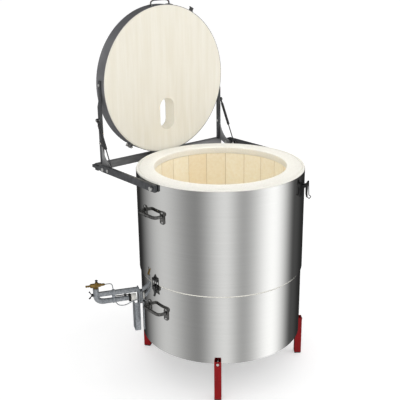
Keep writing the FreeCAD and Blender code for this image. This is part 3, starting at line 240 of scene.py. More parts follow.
dark_ring = finish("dark ring steel", (52, 51, 50), (36, 35, 34), 0.5, (120, 120, 120), 0.4)
ceramic = finish("white ceramic", (244, 243, 238), (236, 234, 228), 0.75, (150, 150, 150))
brass = finish("worn brass", (172, 142, 84), (126, 100, 52), 0.36, (180, 180, 180), 1.0)

FINISHES = {
    "stainless_casing": steel, "base_steel": plain_steel, "insulating_brick": brick, "ceramic_fibre": fibre,
    "red_paint": red_paint, "black_plastic": black_plastic, "dark_steel": dark_steel,
    "lid_sheet": plain_steel, "bright_fasteners": bright_zinc, "handle_steel": dark_chrome,
    "black_latches": black_paint, "spring_black": gloss_black, "spring_rod": dark_rod,
    "galvanised": galvanised, "cup_ring": dark_ring, "white_ceramic": ceramic, "brass": brass}
SLOT_OF = {part["node"]: part["material_slot"] for part in frame["record"]["subparts"]}
OWN_FINISH = {"lid_insulation": lid_fibre, "flame_probe_tube": galvanised, "lid_band": band_steel,
              "cross_bar": bar_steel, "toggle_base_left": dark_chrome, "toggle_base_right": dark_chrome}


def dress(node, material):
    """Give a CAD node its finish in every slot of its object."""
    target = nodes[node]
    if not target.material_slots:
        target.data.materials.append(material)
    for slot in target.material_slots:
        slot.material = material


for node, slot in SLOT_OF.items():
    dress(node, OWN_FINISH.get(node, FINISHES[slot]))
print("finishes:", len(FINISHES))

# %% [markdown]
# Surfaces are computed as arrays of points, and a grid of quads joins them. A lathe turns a closed profile
# about the kiln's axis, which is how every round ring is made; its section has small quarter rounds.

# %% Surface tools
MM = 0.001
UPPER_RADIUS, LOWER_RADIUS, CHAMBER_RADIUS = 306.0, 302.0, 240.0
CASING_LOW, SEAM_LOW, SEAM_TOP, CASING_TOP, RIM_TOP = 140.0, 397.0, 403.0, 779.0, 785.0


def add_piece(name, points, faces, material, body, slot, sharp=32.0):
    """A closed mesh in the part's frame, smooth shaded up to the given edge angle, riding on its body."""
    mesh = bpy.data.meshes.new(name)
    mesh.from_pydata(np.asarray(points, float).tolist(), [], [list(map(int, face)) for face in faces])
    mesh.update()
    mesh.shade_smooth()
    mesh.set_sharp_from_angle(angle=math.radians(sharp))
    mesh.materials.append(material)
    piece = bpy.data.objects.new(name, mesh)
    scene.collection.objects.link(piece)
    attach(piece, body)
    return piece


def grid(rows, columns, wrap_rows, flip=False):
    """Quads over a grid whose columns close on themselves: (i, j), (i, j+1), (i+1, j+1), (i+1, j)."""
    last = rows if wrap_rows else rows - 1
    i, j = np.meshgrid(np.arange(last), np.arange(columns), indexing="ij")
    i, j = i.ravel(), j.ravel()
    up, on = (i + 1) % rows, (j + 1) % columns
    quads = np.stack([i * columns + j, i * columns + on, up * columns + on, up * columns + j], 1)
    return quads[:, ::-1] if flip else quads


def lathe(profile, count=256):
    """A closed profile (radius, height) turned about Z: x = r cos a, y = r sin a."""
    profile = np.asarray(profile, float) * MM
    turn = np.linspace(0, 2 * np.pi, count, endpoint=False)
    r, z = profile[:, :1], profile[:, 1:]
    points = np.stack([r * np.cos(turn), r * np.sin(turn), z + 0 * turn], 2).reshape(-1, 3)
    return points, grid(len(profile), count, True, flip=True)


def rounded_rectangle(r0, r1, z0, z1, edge, steps=4):
    """The corners of a ring's section, each rounded by a quarter circle, going round anticlockwise."""
    out = []
    for cx, cz, start in ((r1 - edge, z0 + edge, -90), (r1 - edge, z1 - edge, 0),
                          (r0 + edge, z1 - edge, 90), (r0 + edge, z0 + edge, 180)):
        for a in np.radians(start + np.linspace(0, 90, steps + 1)):
            out.append((cx + edge * math.cos(a), cz + edge * math.sin(a)))
    return out


print("surface tools ready")

# %% [markdown]
# The casing of each section is rolled from brushed stainless sheet and closed by a riveted lap at the back.
# Its curve is a mirror for the studio, so it is computed finely: the radius is the section's radius, with
# one sheet more where the lap doubles it. The lower skin has the burner's round hole: the grid leaves out a
# window of cells there, and a ring of faces joins the window's edge to the exact curve of the hole.

# %% Casing skins
SHEET = 1.2
LAP_AZIMUTH, LAP_WIDTH = 68.0, 28.0
PORT_RADIUS, PORT_Z, BURNER_OFFSET, BURNER_ANGLE = 28.0, 250.0, 104.0, -23.2
COLUMNS, ROW_STEP = 360, 8.0
EDGE_ROW, EDGE_SOFT = 0.5, 0.35     # the sheet's edge is a narrow row that leans in by EDGE_SOFT
WINDOW_MARGIN = 12.0                # cells left out above and below the port


def rolled_wall(radius, heights, azimuth, inner):
    """One side of the sheet: x = r cos a, y = r sin a, with a sheet more where the lap doubles it."""
    half_lap = math.degrees(LAP_WIDTH / 2 / radius)
    lap = 0.0 if inner else SHEET * (np.abs(azimuth - LAP_AZIMUTH) < half_lap)[None, :]
    edge = np.zeros((len(heights), 1))
    edge[[0, -1]] = -EDGE_SOFT if inner else EDGE_SOFT
    r = radius + lap - SHEET * inner - edge
    a = np.radians(azimuth)[None, :]
    return np.stack([r * np.cos(a), r * np.sin(a), heights[:, None] + 0 * a], 2).reshape(-1, 3)


def port_window(radius, heights):
    """The port's azimuth, the rows and columns of cells left out round it, and the window's edge in order."""
    bearing = math.atan2(BURNER_OFFSET, -math.sqrt(radius ** 2 - BURNER_OFFSET ** 2))
    middle = math.degrees(bearing) + BURNER_ANGLE
    column = np.arange(int(middle) - 8, int(middle) + 10)
    row = np.flatnonzero(np.abs(heights - PORT_Z) < PORT_RADIUS + WINDOW_MARGIN)
    loop = ([(row[0], c) for c in column] + [(k, column[-1]) for k in row[1:]]
            + [(row[-1], c) for c in column[::-1][1:]] + [(k, column[0]) for k in row[::-1][1:-1]])
    return middle, row, column, loop


def port_edge(r, radius, heights, azimuth, middle, loop):
    """The hole's exact curve on a wall of radius r: one point towards each point of the window."""
    spots = []
    for k, c in loop:
        turn = math.atan2(heights[k] - PORT_Z, -(azimuth[c] - middle) * radius * math.pi / 180)
        y = BURNER_OFFSET - PORT_RADIUS * math.cos(turn)
        a = math.atan2(y, -math.sqrt(r ** 2 - y ** 2)) + math.radians(BURNER_ANGLE)
        spots.append((r * math.cos(a), r * math.sin(a), PORT_Z + PORT_RADIUS * math.sin(turn)))
    return np.array(spots)


def bridge(first, second, flip=False):
    """Quads between two closed loops of as many points."""
    count = len(first)
    quads = [[first[k], first[(k + 1) % count], second[(k + 1) % count], second[k]] for k in range(count)]
    return [quad[::-1] for quad in quads] if flip else quads


def skin(radius, low, high, port):
    """Outer and inner wall of a rolled sheet, closed at its top and bottom edges, with or without port."""
    rows = max(8, int((high - low) / ROW_STEP))
    heights = np.concatenate([[low, low + EDGE_ROW], np.linspace(low, high, rows)[1:-1],
                              [high - EDGE_ROW, high]])
    azimuth = np.arange(COLUMNS) * 360.0 / COLUMNS
    points = [rolled_wall(radius, heights, azimuth, inner) for inner in (False, True)]
    wall_size, faces, rings = len(points[0]), [], []
    if port:
        middle, row, column, loop = port_window(radius, heights)
    for inner in (False, True):
        start = wall_size * inner
        quads = grid(len(heights), COLUMNS, False, flip=inner)
        if port:
            i, j = quads.min(1) // COLUMNS, quads[:, 3 if inner else 0] % COLUMNS
            quads = quads[(i < row[0]) | (i >= row[-1]) | (j < column[0]) | (j >= column[-1])]
        faces += (quads + start).tolist()
        if port:
            first = sum(len(p) for p in points)
            rings.append(list(range(first, first + len(loop))))
            points.append(port_edge(radius - SHEET * inner, radius, heights, azimuth, middle, loop))
            faces += bridge([start + k * COLUMNS + c for k, c in loop], rings[-1], flip=inner)
    if port:
        faces += bridge(*rings)
    for base, flip in ((0, True), (wall_size - COLUMNS, False)):
        outside = np.arange(base, base + COLUMNS)
        faces += bridge(outside.tolist(), (outside + wall_size).tolist(), flip)
    return np.concatenate(points) * MM, faces


upper_skin = add_piece("upper_skin", *skin(UPPER_RADIUS, SEAM_TOP, CASING_TOP, False), steel, "kiln",
                       "stainless_casing")
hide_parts("upper_casing")
lower_skin = add_piece("lower_skin", *skin(LOWER_RADIUS, CASING_LOW, SEAM_LOW, True), steel, "kiln",
                       "stainless_casing")
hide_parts("lower_casing")
print("casing skins:", len(upper_skin.data.polygons), len(lower_skin.data.polygons), "faces")

# %% [markdown]
# The rim is stiff pressed fibre: a jointless collar over the bricks and the blanket's edge round it, both
# worn soft at their corners. The seam gasket is the same fibre, squeezed between the two sections.

# %% Rim
COLLAR_LOW, COLLAR_OUT, BLANKET_IN, BLANKET_OUT, GASKET_OUT = 760.0, 294.9, 295.1, 304.5, 301.6


def fibre_ring(name, hides, *section):
    """A ring of pressed fibre, turned from its rounded section, standing for the CAD node."""
    ring = add_piece(name, *lathe(rounded_rectangle(*section)), fibre, "kiln", "ceramic_fibre")
    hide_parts(hides)


fibre_ring("soft_collar", "rim_collar", CHAMBER_RADIUS, COLLAR_OUT, COLLAR_LOW, RIM_TOP, 3.5)
fibre_ring("soft_blanket", "upper_blanket", BLANKET_IN, BLANKET_OUT, SEAM_TOP, RIM_TOP, 2.4)
fibre_ring("soft_gasket", "seam_gasket", CHAMBER_RADIUS, GASKET_OUT, SEAM_LOW, SEAM_TOP, 1.5)
print("rim: collar, blanket and gasket up to", RIM_TOP, "mm")

# %% [markdown]
# The lid hangs in a slim frame. On each side a bar is bolted to the casing and carries the hinge pin; the
# lid's arm is a narrow bar beside the band, thinned to a strap where it is bolted on, with a curved gusset
# down to the hinge. The gas spring stands between arm and bar: a black tube above, a thin rod below. The
# bars are prisms with their edges rounded and the round parts are turned, as they are sawn and turned in
# steel. Points of the lid are worked out on the closed lid, which is where its sizes are plain.

# %% Lid frame: sizes and tools
PIVOT_Y, PIVOT_Z = 290.0, 763.0
ARM_MID_Z = 812.8
ARM_IN, ARM_OUT, STRAP_OUT = 280.3, 292.3, 284.3
ARM_HALF, STRAP_START, STRAP_FULL = 7.0, 985.0, 1015.0
ARM_TAIL_Y, ARM_TIP_Y, BAND_BOLT_Y, GUSSET_START_Y = 282.7, -26.5, -10.0, 205.0
LOBE_RADIUS, GUSSET_DROP = 13.0, 6.0
BAR_IN, BAR_OUT = 306.4, 318.4
GUSSET_IN = 287.3
SPRING_X = 299.3
SPRING_LOW = (257.0, 765.0)
SPRING_TOP_CLOSED_Y = 117.0


def opened(y, z):
    """A point of the closed lid after it has swung up a quarter turn: y' = Py + z - Pz, z' = Pz + Py - y."""
    return PIVOT_Y + (z - PIVOT_Z), PIVOT_Z + (PIVOT_Y - y)


def prism(outline, low, high, axis, edge):
    """A polygon in two axes pushed along the third from low to high, with its edges rounded."""
    others = [k for k in range(3) if k != axis]
    work = bmesh.new()
    corners = []
    for a, b in outline:
        spot = [0.0, 0.0, 0.0]
        spot[others[0]], spot[others[1]], spot[axis] = a * MM, b * MM, low * MM
        corners.append(work.verts.new(spot))
    face = work.faces.new(corners)
    pushed = bmesh.ops.extrude_face_region(work, geom=[face])
    shift = [0.0, 0.0, 0.0]
    shift[axis] = (high - low) * MM
    top = [v for v in pushed["geom"] if isinstance(v, bmesh.types.BMVert)]
    bmesh.ops.translate(work, vec=shift, verts=top)
    bmesh.ops.recalc_face_normals(work, faces=work.faces)
    bmesh.ops.bevel(work, geom=list(work.edges), offset=edge * MM, segments=2, profile=0.5, affect="EDGES",
                    clamp_overlap=True)
    work.verts.index_update()
    points = np.array([v.co[:] for v in work.verts])
    faces = [[v.index for v in f.verts] for f in work.faces]
    work.free()
    return points, faces


def turned(profile, origin, direction, count=28):
    """A profile (radius, distance along) turned about a line, closed by a disc at each end."""
    origin, along = np.asarray(origin, float), np.asarray(direction, float)
    along = along / np.linalg.norm(along)
    side = np.cross(along, (0.31, 0.57, 0.76))
    side /= np.linalg.norm(side)
    third = np.cross(along, side)
    turn = np.linspace(0, 2 * np.pi, count, endpoint=False)[None, :, None]
    profile = np.asarray(profile, float)
    r, t = profile[:, 0][:, None, None], profile[:, 1][:, None, None]
    points = origin + along * t + r * (side * np.cos(turn) + third * np.sin(turn))
    faces = grid(len(profile), count, False).tolist()
    faces += [list(range(count))[::-1], [(len(profile) - 1) * count + k for k in range(count)]]
    return points.reshape(-1, 3) * MM, faces


def stud(radius, place, x0, x1, count=28):
    """A round shank along X through a point (y, z), with softened ends."""
    soft = min(0.6, radius / 4)
    length = x1 - x0
    return turned([(radius - soft, 0), (radius, soft), (radius, length - soft), (radius - soft, length)],
                  (x0, *place), (1, 0, 0), count)


def together(shells):
    """Several closed shells as one mesh."""
    points, faces, base = [], [], 0
    for shell_points, shell_faces in shells:
        points.append(np.asarray(shell_points))
        faces += [[base + int(k) for k in face] for face in shell_faces]
        base += len(shell_points)
    return np.concatenate(points), faces


def mirrored(shell):
    """The same shell on the left side: x changes sign, and the faces turn round to stay outward."""
    points, faces = shell
    return np.asarray(points) * (-1, 1, 1), [list(face)[::-1] for face in faces]


def both_sides(name, shell, material, body, slot, hides):
    """The right-hand piece and its mirror image, each standing for its own CAD node."""
    for side, made in (("right", shell), ("left", mirrored(shell))):
        piece = add_piece(name + "_" + side, *made, material, body.format(side=side), slot)
        for node in hides:
            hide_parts(node.format(side=side))


print("lid pivot at y", PIVOT_Y, "z", PIVOT_Z, "mm")

# %% [markdown]
# The arms and the side bars are sawn from bar, so each is one prism with softened edges. The gusset is a
# plate whose front edge is an arc that runs into the round lobe about the hinge pin.

# %% Arms, gussets and side bars


def gusset_outline():
    """From the arm in an arc to the hinge lobe, round it, and straight back to the arm's end."""
    start = np.array([GUSSET_START_Y, ARM_MID_Z - GUSSET_DROP])
    front = np.array([PIVOT_Y - LOBE_RADIUS, PIVOT_Z])
    run, drop = front[0] - start[0], start[1] - front[1]
    sweep = (run ** 2 + drop ** 2) / (2 * drop)
    turn = np.linspace(0, math.asin(min(1.0, run / sweep)), 14)
    arc = [(start[0] + sweep * math.sin(t), start[1] - sweep * (1 - math.cos(t))) for t in turn[:-1]]
    lobe = [(PIVOT_Y + LOBE_RADIUS * math.cos(t), PIVOT_Z + LOBE_RADIUS * math.sin(t))
            for t in np.linspace(-math.pi, 0, 15)]
    return [opened(y, z) for y, z in arc + lobe + [(ARM_TAIL_Y, ARM_MID_Z - GUSSET_DROP)]]


arm_y = opened(0.0, ARM_MID_Z)[0]
arm_low, arm_high = opened(ARM_TAIL_Y, 0)[1], opened(ARM_TIP_Y, 0)[1]
arm_outline = [(ARM_IN, arm_low), (ARM_OUT, arm_low), (ARM_OUT, STRAP_START), (STRAP_OUT, STRAP_FULL),
               (STRAP_OUT, arm_high), (ARM_IN, arm_high)]
both_sides("slim_arm", prism(arm_outline, arm_y - ARM_HALF, arm_y + ARM_HALF, 1, 1.0), dark_steel, "lid",
           "dark_steel", ["lid_arm_{side}"])
both_sides("gusset", prism(gusset_outline(), GUSSET_IN, ARM_OUT, 0, 0.6), gusset_steel, "lid",
           "dark_steel", [])
# The side bar's outline in (y, z): deep from its front end to the pivot, then down to a thinner tail.
bar_outline = [(-30, 752), (300, 752), (326, 757), (365, 757), (365, 768), (326, 768), (300, 778),
               (-30, 778)]
both_sides("slim_side_bar", prism(bar_outline, BAR_IN, BAR_OUT, 0, 1.2), dark_steel, "kiln", "dark_steel",
           ["side_bar_{side}"])
print("arms", round(arm_high - arm_low, 1), "mm long")

# %% [markdown]
# A gas spring is two turned pieces that slide: one eye sits on the side bar's stud and the other on the
# arm's stud. Each piece rides on its own body, so the rod goes into the tube as the lid comes down.

# %% Gas springs
top_y, top_z = opened(SPRING_TOP_CLOSED_Y, ARM_MID_Z)
low = np.array([SPRING_X, *SPRING_LOW])
lean = np.array([0.0, top_y - SPRING_LOW[0], top_z - SPRING_LOW[1]])
reach = float(np.linalg.norm(lean))
ROD_HIDDEN, TUBE_LENGTH = 92.0, 112.0
rod_shaft = turned([(2.2, 4), (2.2, reach - ROD_HIDDEN)], low, lean, 20)
rod_eye = stud(6.5, SPRING_LOW, SPRING_X - 4, SPRING_X + 4)
both_sides("thin_spring_rod", together([rod_shaft, rod_eye]), dark_rod, "spring_rod_{side}", "spring_rod",
           ["gas_spring_rod_{side}"])
body_start = reach - TUBE_LENGTH
tube = turned([(3.4, body_start), (4.6, body_start + 1), (5.2, body_start + 3), (5.2, reach - 20),
               (4.2, reach - 17), (3.2, reach - 14), (3.2, reach - 3)], low, lean, 28)
tube_eye = stud(7.0, (top_y, top_z), SPRING_X - 4.5, SPRING_X + 4.5)
both_sides("thin_spring_tube", together([tube, tube_eye]), gloss_black, "spring_cylinder_{side}",
           "spring_black", ["gas_spring_cylinder_{side}"])
print("gas springs", round(reach, 1), "mm between their studs")

# %% [markdown]
# Pins, studs and bolts are turned shanks, and a nut is the same lathe with six steps. The rivets are low
# domes, set out on the closed lid and swung up with it.

# %% Pins, bolts and rivets
pivot = (PIVOT_Y, PIVOT_Z)
pin = together([stud(5.0, pivot, 281.0, BAR_OUT + 3), stud(8.0, pivot, 281.4, 286.9, 6),
                stud(8.0, pivot, BAR_OUT, BAR_OUT + 4, 6)])
low_stud = together([stud(4.0, SPRING_LOW, 292.0, BAR_OUT + 2),
                     stud(6.5, SPRING_LOW, BAR_OUT, BAR_OUT + 4, 6)])
for name, shell, node in (("hinge_pins_both", pin, "hinge_pins"),
                          ("spring_studs_low", low_stud, "spring_studs")):
    pair = add_piece(name, *together([shell, mirrored(shell)]), bright_zinc, "kiln", "bright_fasteners")
    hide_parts(node)

band_bolt = opened(BAND_BOLT_Y, ARM_MID_Z)
gusset_bolt = opened(GUSSET_START_Y, ARM_MID_Z)
BAND_RADIUS, BAND_LOW_Z = 282.0, 788.3
CATCH_RIVETS = (16.0, 25.0)          # above the band's lower edge
PAD_HALF, PAD_RADIUS = 43.0, 280.0   # the lid handle's pads, from its middle and from the lid's axis
FRONT, CATCH_AZIMUTH = 270.0, 298.0
fixings = [stud(3.0, band_bolt, 278.6, STRAP_OUT + 2), stud(5.5, band_bolt, STRAP_OUT, STRAP_OUT + 3.5, 6),
           stud(3.0, gusset_bolt, 278.0, ARM_OUT + 4), stud(5.5, gusset_bolt, ARM_OUT, ARM_OUT + 3, 6),
           stud(5.5, gusset_bolt, 277.3, ARM_IN, 6), stud(3.6, (top_y, top_z), ARM_OUT - 2, SPRING_X + 7),
           stud(5.6, (top_y, top_z), ARM_OUT, SPRING_X - 4.8, 6)]
fixings += [mirrored(shell) for shell in fixings]


def lid_rivet(azimuth, closed_z):
    """A domed rivet head on the band, found on the closed lid and swung up with it."""
    a = math.radians(azimuth)
    out = np.array([math.cos(a), math.sin(a)])
    y, z = opened(BAND_RADIUS * out[1], closed_z)
    direction = (out[0], 0.0, -out[1])
    dome = [(3.4, -0.4), (3.4, 0.2), (2.6, 1.1), (1.2, 1.6)]
    return turned(dome, (BAND_RADIUS * out[0], y, z), direction, 18)


foot_turn = math.degrees(math.asin(PAD_HALF / PAD_RADIUS))
fixings += [lid_rivet(FRONT + side * foot_turn, ARM_MID_Z + rise) for side in (-1, 1) for rise in (-8.5, 8.5)]
fixings += [lid_rivet(CATCH_AZIMUTH, BAND_LOW_Z + rise) for rise in CATCH_RIVETS]
lid_fixings = add_piece("lid_fixings", *together(fixings), bright_zinc, "lid", "bright_fasteners")
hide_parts("lid_fasteners")
print("pins, studs and", len(fixings), "fixings of the lid")

# %% [markdown]
# Each bow handle is one round bar bent twice at each end, on two upright plates whose rivets are already in
# the frame. The bar stands close to the casing, so that its mirror image in the steel shows just behind it.

# %% Bow handles
HANDLE_REACH, HANDLE_HALF, HANDLE_RISE = 28.0, 49.0, 6.0
HANDLE_BEND, HANDLE_BAR = 17.0, 6.0
UPPER_HANDLE_Z, LOWER_HANDLE_Z = 663.0, 297.0


def rounded_path(corners, bend, steps=9):
    """Straight runs joined by smooth bends: each corner becomes (1-t)^2 a + 2t(1-t) c + t^2 b."""
    corners = [np.asarray(c, float) for c in corners]
    path = [corners[0]]
    t = np.linspace(0, 1, steps)[:, None]
    for before, corner, after in zip(corners, corners[1:], corners[2:]):
        a = corner + (before - corner) * min(bend / np.linalg.norm(before - corner), 0.49)
        b = corner + (after - corner) * min(bend / np.linalg.norm(after - corner), 0.49)
        path += list((1 - t) ** 2 * a + 2 * t * (1 - t) * corner + t ** 2 * b)
    return np.array(path + [corners[-1]])


def swept(path, radius, reference, count=20):
    """A round bar along a path: each ring is path + radius (u cos a + v sin a), u = reference x tangent."""
    path = np.asarray(path, float)
    tangent = np.gradient(path, axis=0)
    tangent /= np.linalg.norm(tangent, axis=1, keepdims=True)
    u = np.cross(np.asarray(reference, float), tangent)
    u /= np.linalg.norm(u, axis=1, keepdims=True)
    v = np.cross(tangent, u)
    turn = np.linspace(0, 2 * np.pi, count, endpoint=False)[None, :, None]
    radii = np.broadcast_to(np.asarray(radius, float), len(path))[:, None, None]
    points = path[:, None] + radii * (u[:, None] * np.cos(turn) + v[:, None] * np.sin(turn))
    faces = grid(len(path), count, False).tolist()
    faces += [list(range(count))[::-1], [(len(path) - 1) * count + k for k in range(count)]]
    return points.reshape(-1, 3) * MM, faces


def spun(shell, degrees):
    """A shell turned about the kiln's axis."""
    a = math.radians(degrees)
    turn = np.array([[math.cos(a), math.sin(a), 0], [-math.sin(a), math.cos(a), 0], [0, 0, 1]])
    return np.asarray(shell[0]) @ turn, shell[1]


def bow_handle(radius, z):
    """Right-hand handle: the bar, and a plate at each foot."""
    out, h, y = radius + HANDLE_REACH, HANDLE_HALF, z + HANDLE_RISE
    bends = [(radius, -h, y), (out, -h + 4, y), (out, h - 4, y), (radius, h, y)]
    bar = swept(rounded_path(bends, HANDLE_BEND), HANDLE_BAR, (0, 0, 1))
    plate = [(-11, z - 17), (-6, z - 22), (6, z - 22), (11, z - 17), (11, z + 17), (6, z + 22), (-6, z + 22),
             (-11, z + 17)]
    foot = math.degrees(math.asin(h / radius))
    return together([bar] + [spun(prism(plate, radius + 0.1, radius + 3, 0, 0.7), side * foot)
                             for side in (-1, 1)])


both_sides("bow_handle_upper", bow_handle(UPPER_RADIUS, UPPER_HANDLE_Z), dark_chrome, "kiln", "handle_steel",
           ["upper_handle_{side}"])
both_sides("bow_handle_lower", bow_handle(LOWER_RADIUS, LOWER_HANDLE_Z), dark_chrome, "kiln", "handle_steel",
           ["lower_handle_{side}"])


def swing(shell):
    """A shell drawn on the closed lid, swung up with it."""
    x, y, z = np.asarray(shell[0]).T
    return np.stack([x, PIVOT_Y * MM + z - PIVOT_Z * MM, PIVOT_Z * MM + PIVOT_Y * MM - y], 1), shell[1]


BOW_FOOT_Y, BOW_OUT_Y, BOW_HALF, BOW_BEND = -275, -296, 41, 26.0
lid_bow = rounded_path([(-PAD_HALF, BOW_FOOT_Y, ARM_MID_Z), (-BOW_HALF, BOW_OUT_Y, ARM_MID_Z),
                        (BOW_HALF, BOW_OUT_Y, ARM_MID_Z), (PAD_HALF, BOW_FOOT_Y, ARM_MID_Z)], BOW_BEND)
pad_outline = [(-8, ARM_MID_Z - 13), (8, ARM_MID_Z - 13), (8, ARM_MID_Z + 13), (-8, ARM_MID_Z + 13)]
pad = prism(pad_outline, 280.1, BAND_RADIUS, 0, 0.5)
handle_parts = [swept(lid_bow, 2.9, (0, 0, 1))] + [spun(pad, FRONT + side * foot_turn) for side in (-1, 1)]
lid_bow_handle = add_piece("lid_bow_handle", *swing(together(handle_parts)), dark_chrome, "lid",
                           "handle_steel")
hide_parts("lid_handle")
print("bow handles reach", HANDLE_REACH, "mm from the casing")

# %% [markdown]
# The burner hangs on a folded channel beside the port. Gas enters the brass safety valve, comes down the
# riser, takes in air and fires along the mixing pipe into a white cup. A stay tube above ties the riser to
# the plate, and a saddle holds the two tubes and the thin black pilot tube. All of it is drawn along the
# burner's own axis and then set in place.

# %% Burner: pipes
RISER_X, VALVE_Z, STAY_Z, PILOT_Z = -466.0, 320.0, 281.0, 264.6
CUP_BACK, CUP_LENGTH, CLAMP_X, CLAMP_HALF = -333.0, 21.0, -399.0, 5.5
PLATE_FACE, PLATE_TOP, PLATE_THICKNESS, PLATE_CORNER = -304.0, 290.0, 4.0, 6.0
CHANNEL_LOW, CHANNEL_TOP, CHANNEL_HALF, CHANNEL_DEPTH, CHANNEL_SHEET = 113.0, 233.0, 20.0, 19.0, 3.0
PIPE_BEND, RISER_RADIUS, ELBOW_RADIUS, PIPE_RADIUS, BUTTON_OFFSET = 34.0, 11.3, 10.6, 9.2, 4.0
SPOKE_ANGLES = (100, 190, 290)
ALONG, UPWARD = (1, 0, 0), (0, 0, 1)


def fired(shell):
    """From the burner's own axis to its place: shifted sideways, then turned about the kiln."""
    points, faces = shell
    return spun((np.asarray(points) + (0, BURNER_OFFSET * MM, 0), faces), BURNER_ANGLE)


def burner_piece(name, shells, material, slot, hides, body="kiln"):
    """One piece of the burner from its shells, standing for the CAD nodes it hides."""
    piece = add_piece(name, *fired(together(shells)), material, body, slot)
    if hides:
        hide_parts(*hides)
    return piece


pipe_corners = [(RISER_X, 0, VALVE_Z - 12), (RISER_X, 0, PORT_Z), (CUP_BACK - 3, 0, PORT_Z)]
pipe_path = rounded_path(pipe_corners, PIPE_BEND, 14)
thick = np.interp(pipe_path[:, 0], [RISER_X, RISER_X + 30, RISER_X + 48],
                  [RISER_RADIUS, ELBOW_RADIUS, PIPE_RADIUS])
burner_piece("mixing_pipe", [swept(pipe_path, thick, (0, 1, 0), 28)], galvanised, "galvanised",
             ["burner_mixing_pipe"])
stay = turned([(10, 0), (10, PLATE_FACE - RISER_X - 8)], (RISER_X + 8, 0, STAY_Z), ALONG)
burner_piece("stay_tube", [stay], galvanised, "galvanised", ["burner_stay_tube"])
clamp_end = CLAMP_X - CLAMP_HALF
saddle = [turned([(8, 0), (12.4, 0.6), (12.4, 10.4), (8, 11)], (clamp_end, 0, STAY_Z), ALONG),
          turned([(8, 0), (11.6, 0.6), (11.6, 10.4), (8, 11)], (clamp_end, 0, PORT_Z), ALONG),
          prism([(-4.5, 254), (4.5, 254), (4.5, 276), (-4.5, 276)], clamp_end, CLAMP_X + CLAMP_HALF, 0, 0.8)]
burner_piece("tube_saddle", saddle, galvanised, "galvanised", ["burner_tube_clamp"])
pilot_run = CUP_BACK - 9 - CLAMP_X
pilot = [turned([(2.2, 0), (2.2, pilot_run)], (CLAMP_X, 0, PILOT_Z), ALONG, 16),
         turned([(2.2, 0), (4.2, 1), (4.2, 9), (2.2, 10)], (CUP_BACK - 26, 0, PILOT_Z), ALONG, 18)]
burner_piece("pilot_tube", pilot, black_paint, "cup_ring", [])
print("burner pipes: riser", -RISER_X, "mm from the kiln's axis")

# %% [markdown]
# The cup, its seat and the valve are turned on a lathe, so each is a profile about its own axis. The
# valve's tower is bored, and the button's stem slides in it.

# %% Burner: cup, valve and button
seat = [(9.2, 0), (14, 0.2), (16, 2), (16, 7.5), (9.2, 8)]
burner_piece("cup_seat", [turned(seat, (CUP_BACK - 8, 0, PORT_Z), ALONG, 32)], dark_ring, "cup_ring",
             ["burner_cup_ring"])
cup = [(13.0, 0), (14.6, 2), (15, 5), (15, CUP_LENGTH - 1), (14.4, CUP_LENGTH), (12.6, CUP_LENGTH),
       (12.0, CUP_LENGTH - 1), (11, 9), (5, 7)]
burner_piece("flame_cup", [turned(cup, (CUP_BACK, 0, PORT_Z), ALONG, 32)], ceramic, "white_ceramic",
             ["burner_flame_cup"])
valve = [(3.4, -38), (4.6, -35), (3.2, -31), (4.6, -28), (3.2, -24), (4.6, -22), (7.5, -20), (8.5, -17),
         (8.5, 12), (7, 16), (7, 20), (5, 21), (5, 30), (4, 34), (2.2, 36)]
valve_nut = [(9, 0), (9.5, 1), (9.5, 9), (9, 10)]
valve_tower = [(6, 0), (6, 12), (5.2, 13), (3.3, 13), (3.3, 7)]
burner_piece("valve_body", [turned(valve, (RISER_X, 0, VALVE_Z), ALONG),
                            turned(valve_nut, (RISER_X, 0, VALVE_Z - 12), UPWARD, 6),
                            turned(valve_tower, (RISER_X + BUTTON_OFFSET, 0, VALVE_Z), UPWARD, 20)],
             brass, "brass", ["gas_safety_valve"])
button = [(2.9, 0), (2.9, 4.6), (5.2, 4.8), (5.5, 5.6), (5.5, 7.8), (4.8, 8.4)]
burner_piece("button_cap", [turned(button, (RISER_X + BUTTON_OFFSET, 0, VALVE_Z + 12.8), UPWARD, 20)],
             black_plastic, "black_plastic", ["safety_button"], "safety_button")
print("burner cup", CUP_LENGTH, "mm long")

# %% [markdown]
# The wheel is a hub with three knobbed spokes that lean back. The flame probe's tube is bent by hand from the
# valve, under the pipes, to the cup, so it is a path with soft bends. The channel is folded from sheet: the
# plate against the casing, one side wall and the outer wall.

# %% Burner: wheel, probe and channel
HUB_RADIUS, HUB_LENGTH, HUB_GAP = 6, 7, 11.5   # the gap is from the riser's axis to the hub
hub_x = RISER_X - HUB_GAP - HUB_LENGTH
spokes = [turned([(HUB_RADIUS, 0), (HUB_RADIUS, HUB_LENGTH)], (hub_x, 0, STAY_Z), ALONG, 20)]
spoke = [(1.9, 0), (1.9, 17), (3.0, 18), (3.0, 20), (1.5, 21)]
for angle in np.radians(SPOKE_ANGLES):
    tip = np.array([-9.0, 15 * math.cos(angle), 15 * math.sin(angle)])
    spokes.append(turned(spoke, (hub_x + 3, 0, STAY_Z), tip, 14))
burner_piece("spoke_wheel", spokes, black_plastic, "black_plastic", ["air_wheel"], "air_wheel")
probe = [(RISER_X + 34, 0, 320), (RISER_X + 62, 0, 320), (RISER_X + 67, 6, 296), (RISER_X + 68, 14, 268),
         (RISER_X + 72, 12, 240), (RISER_X + 84, 2, 222), (-356, -8, 224), (-338, -15, 236), (-319, -18, 245),
         (-304.4, -18, 245)]
burner_piece("probe_line", [swept(rounded_path(probe, 11.0, 7), 1.7, (0, 1, 0.2), 12)], galvanised, "brass",
             ["flame_probe_tube"])
half, shelf_x = CHANNEL_HALF, PLATE_FACE - CHANNEL_DEPTH
plate_edge = [(-half, CHANNEL_LOW), (half, CHANNEL_LOW), (half, PLATE_TOP - PLATE_CORNER),
              (half - PLATE_CORNER, PLATE_TOP), (PLATE_CORNER - half, PLATE_TOP),
              (-half, PLATE_TOP - PLATE_CORNER)]
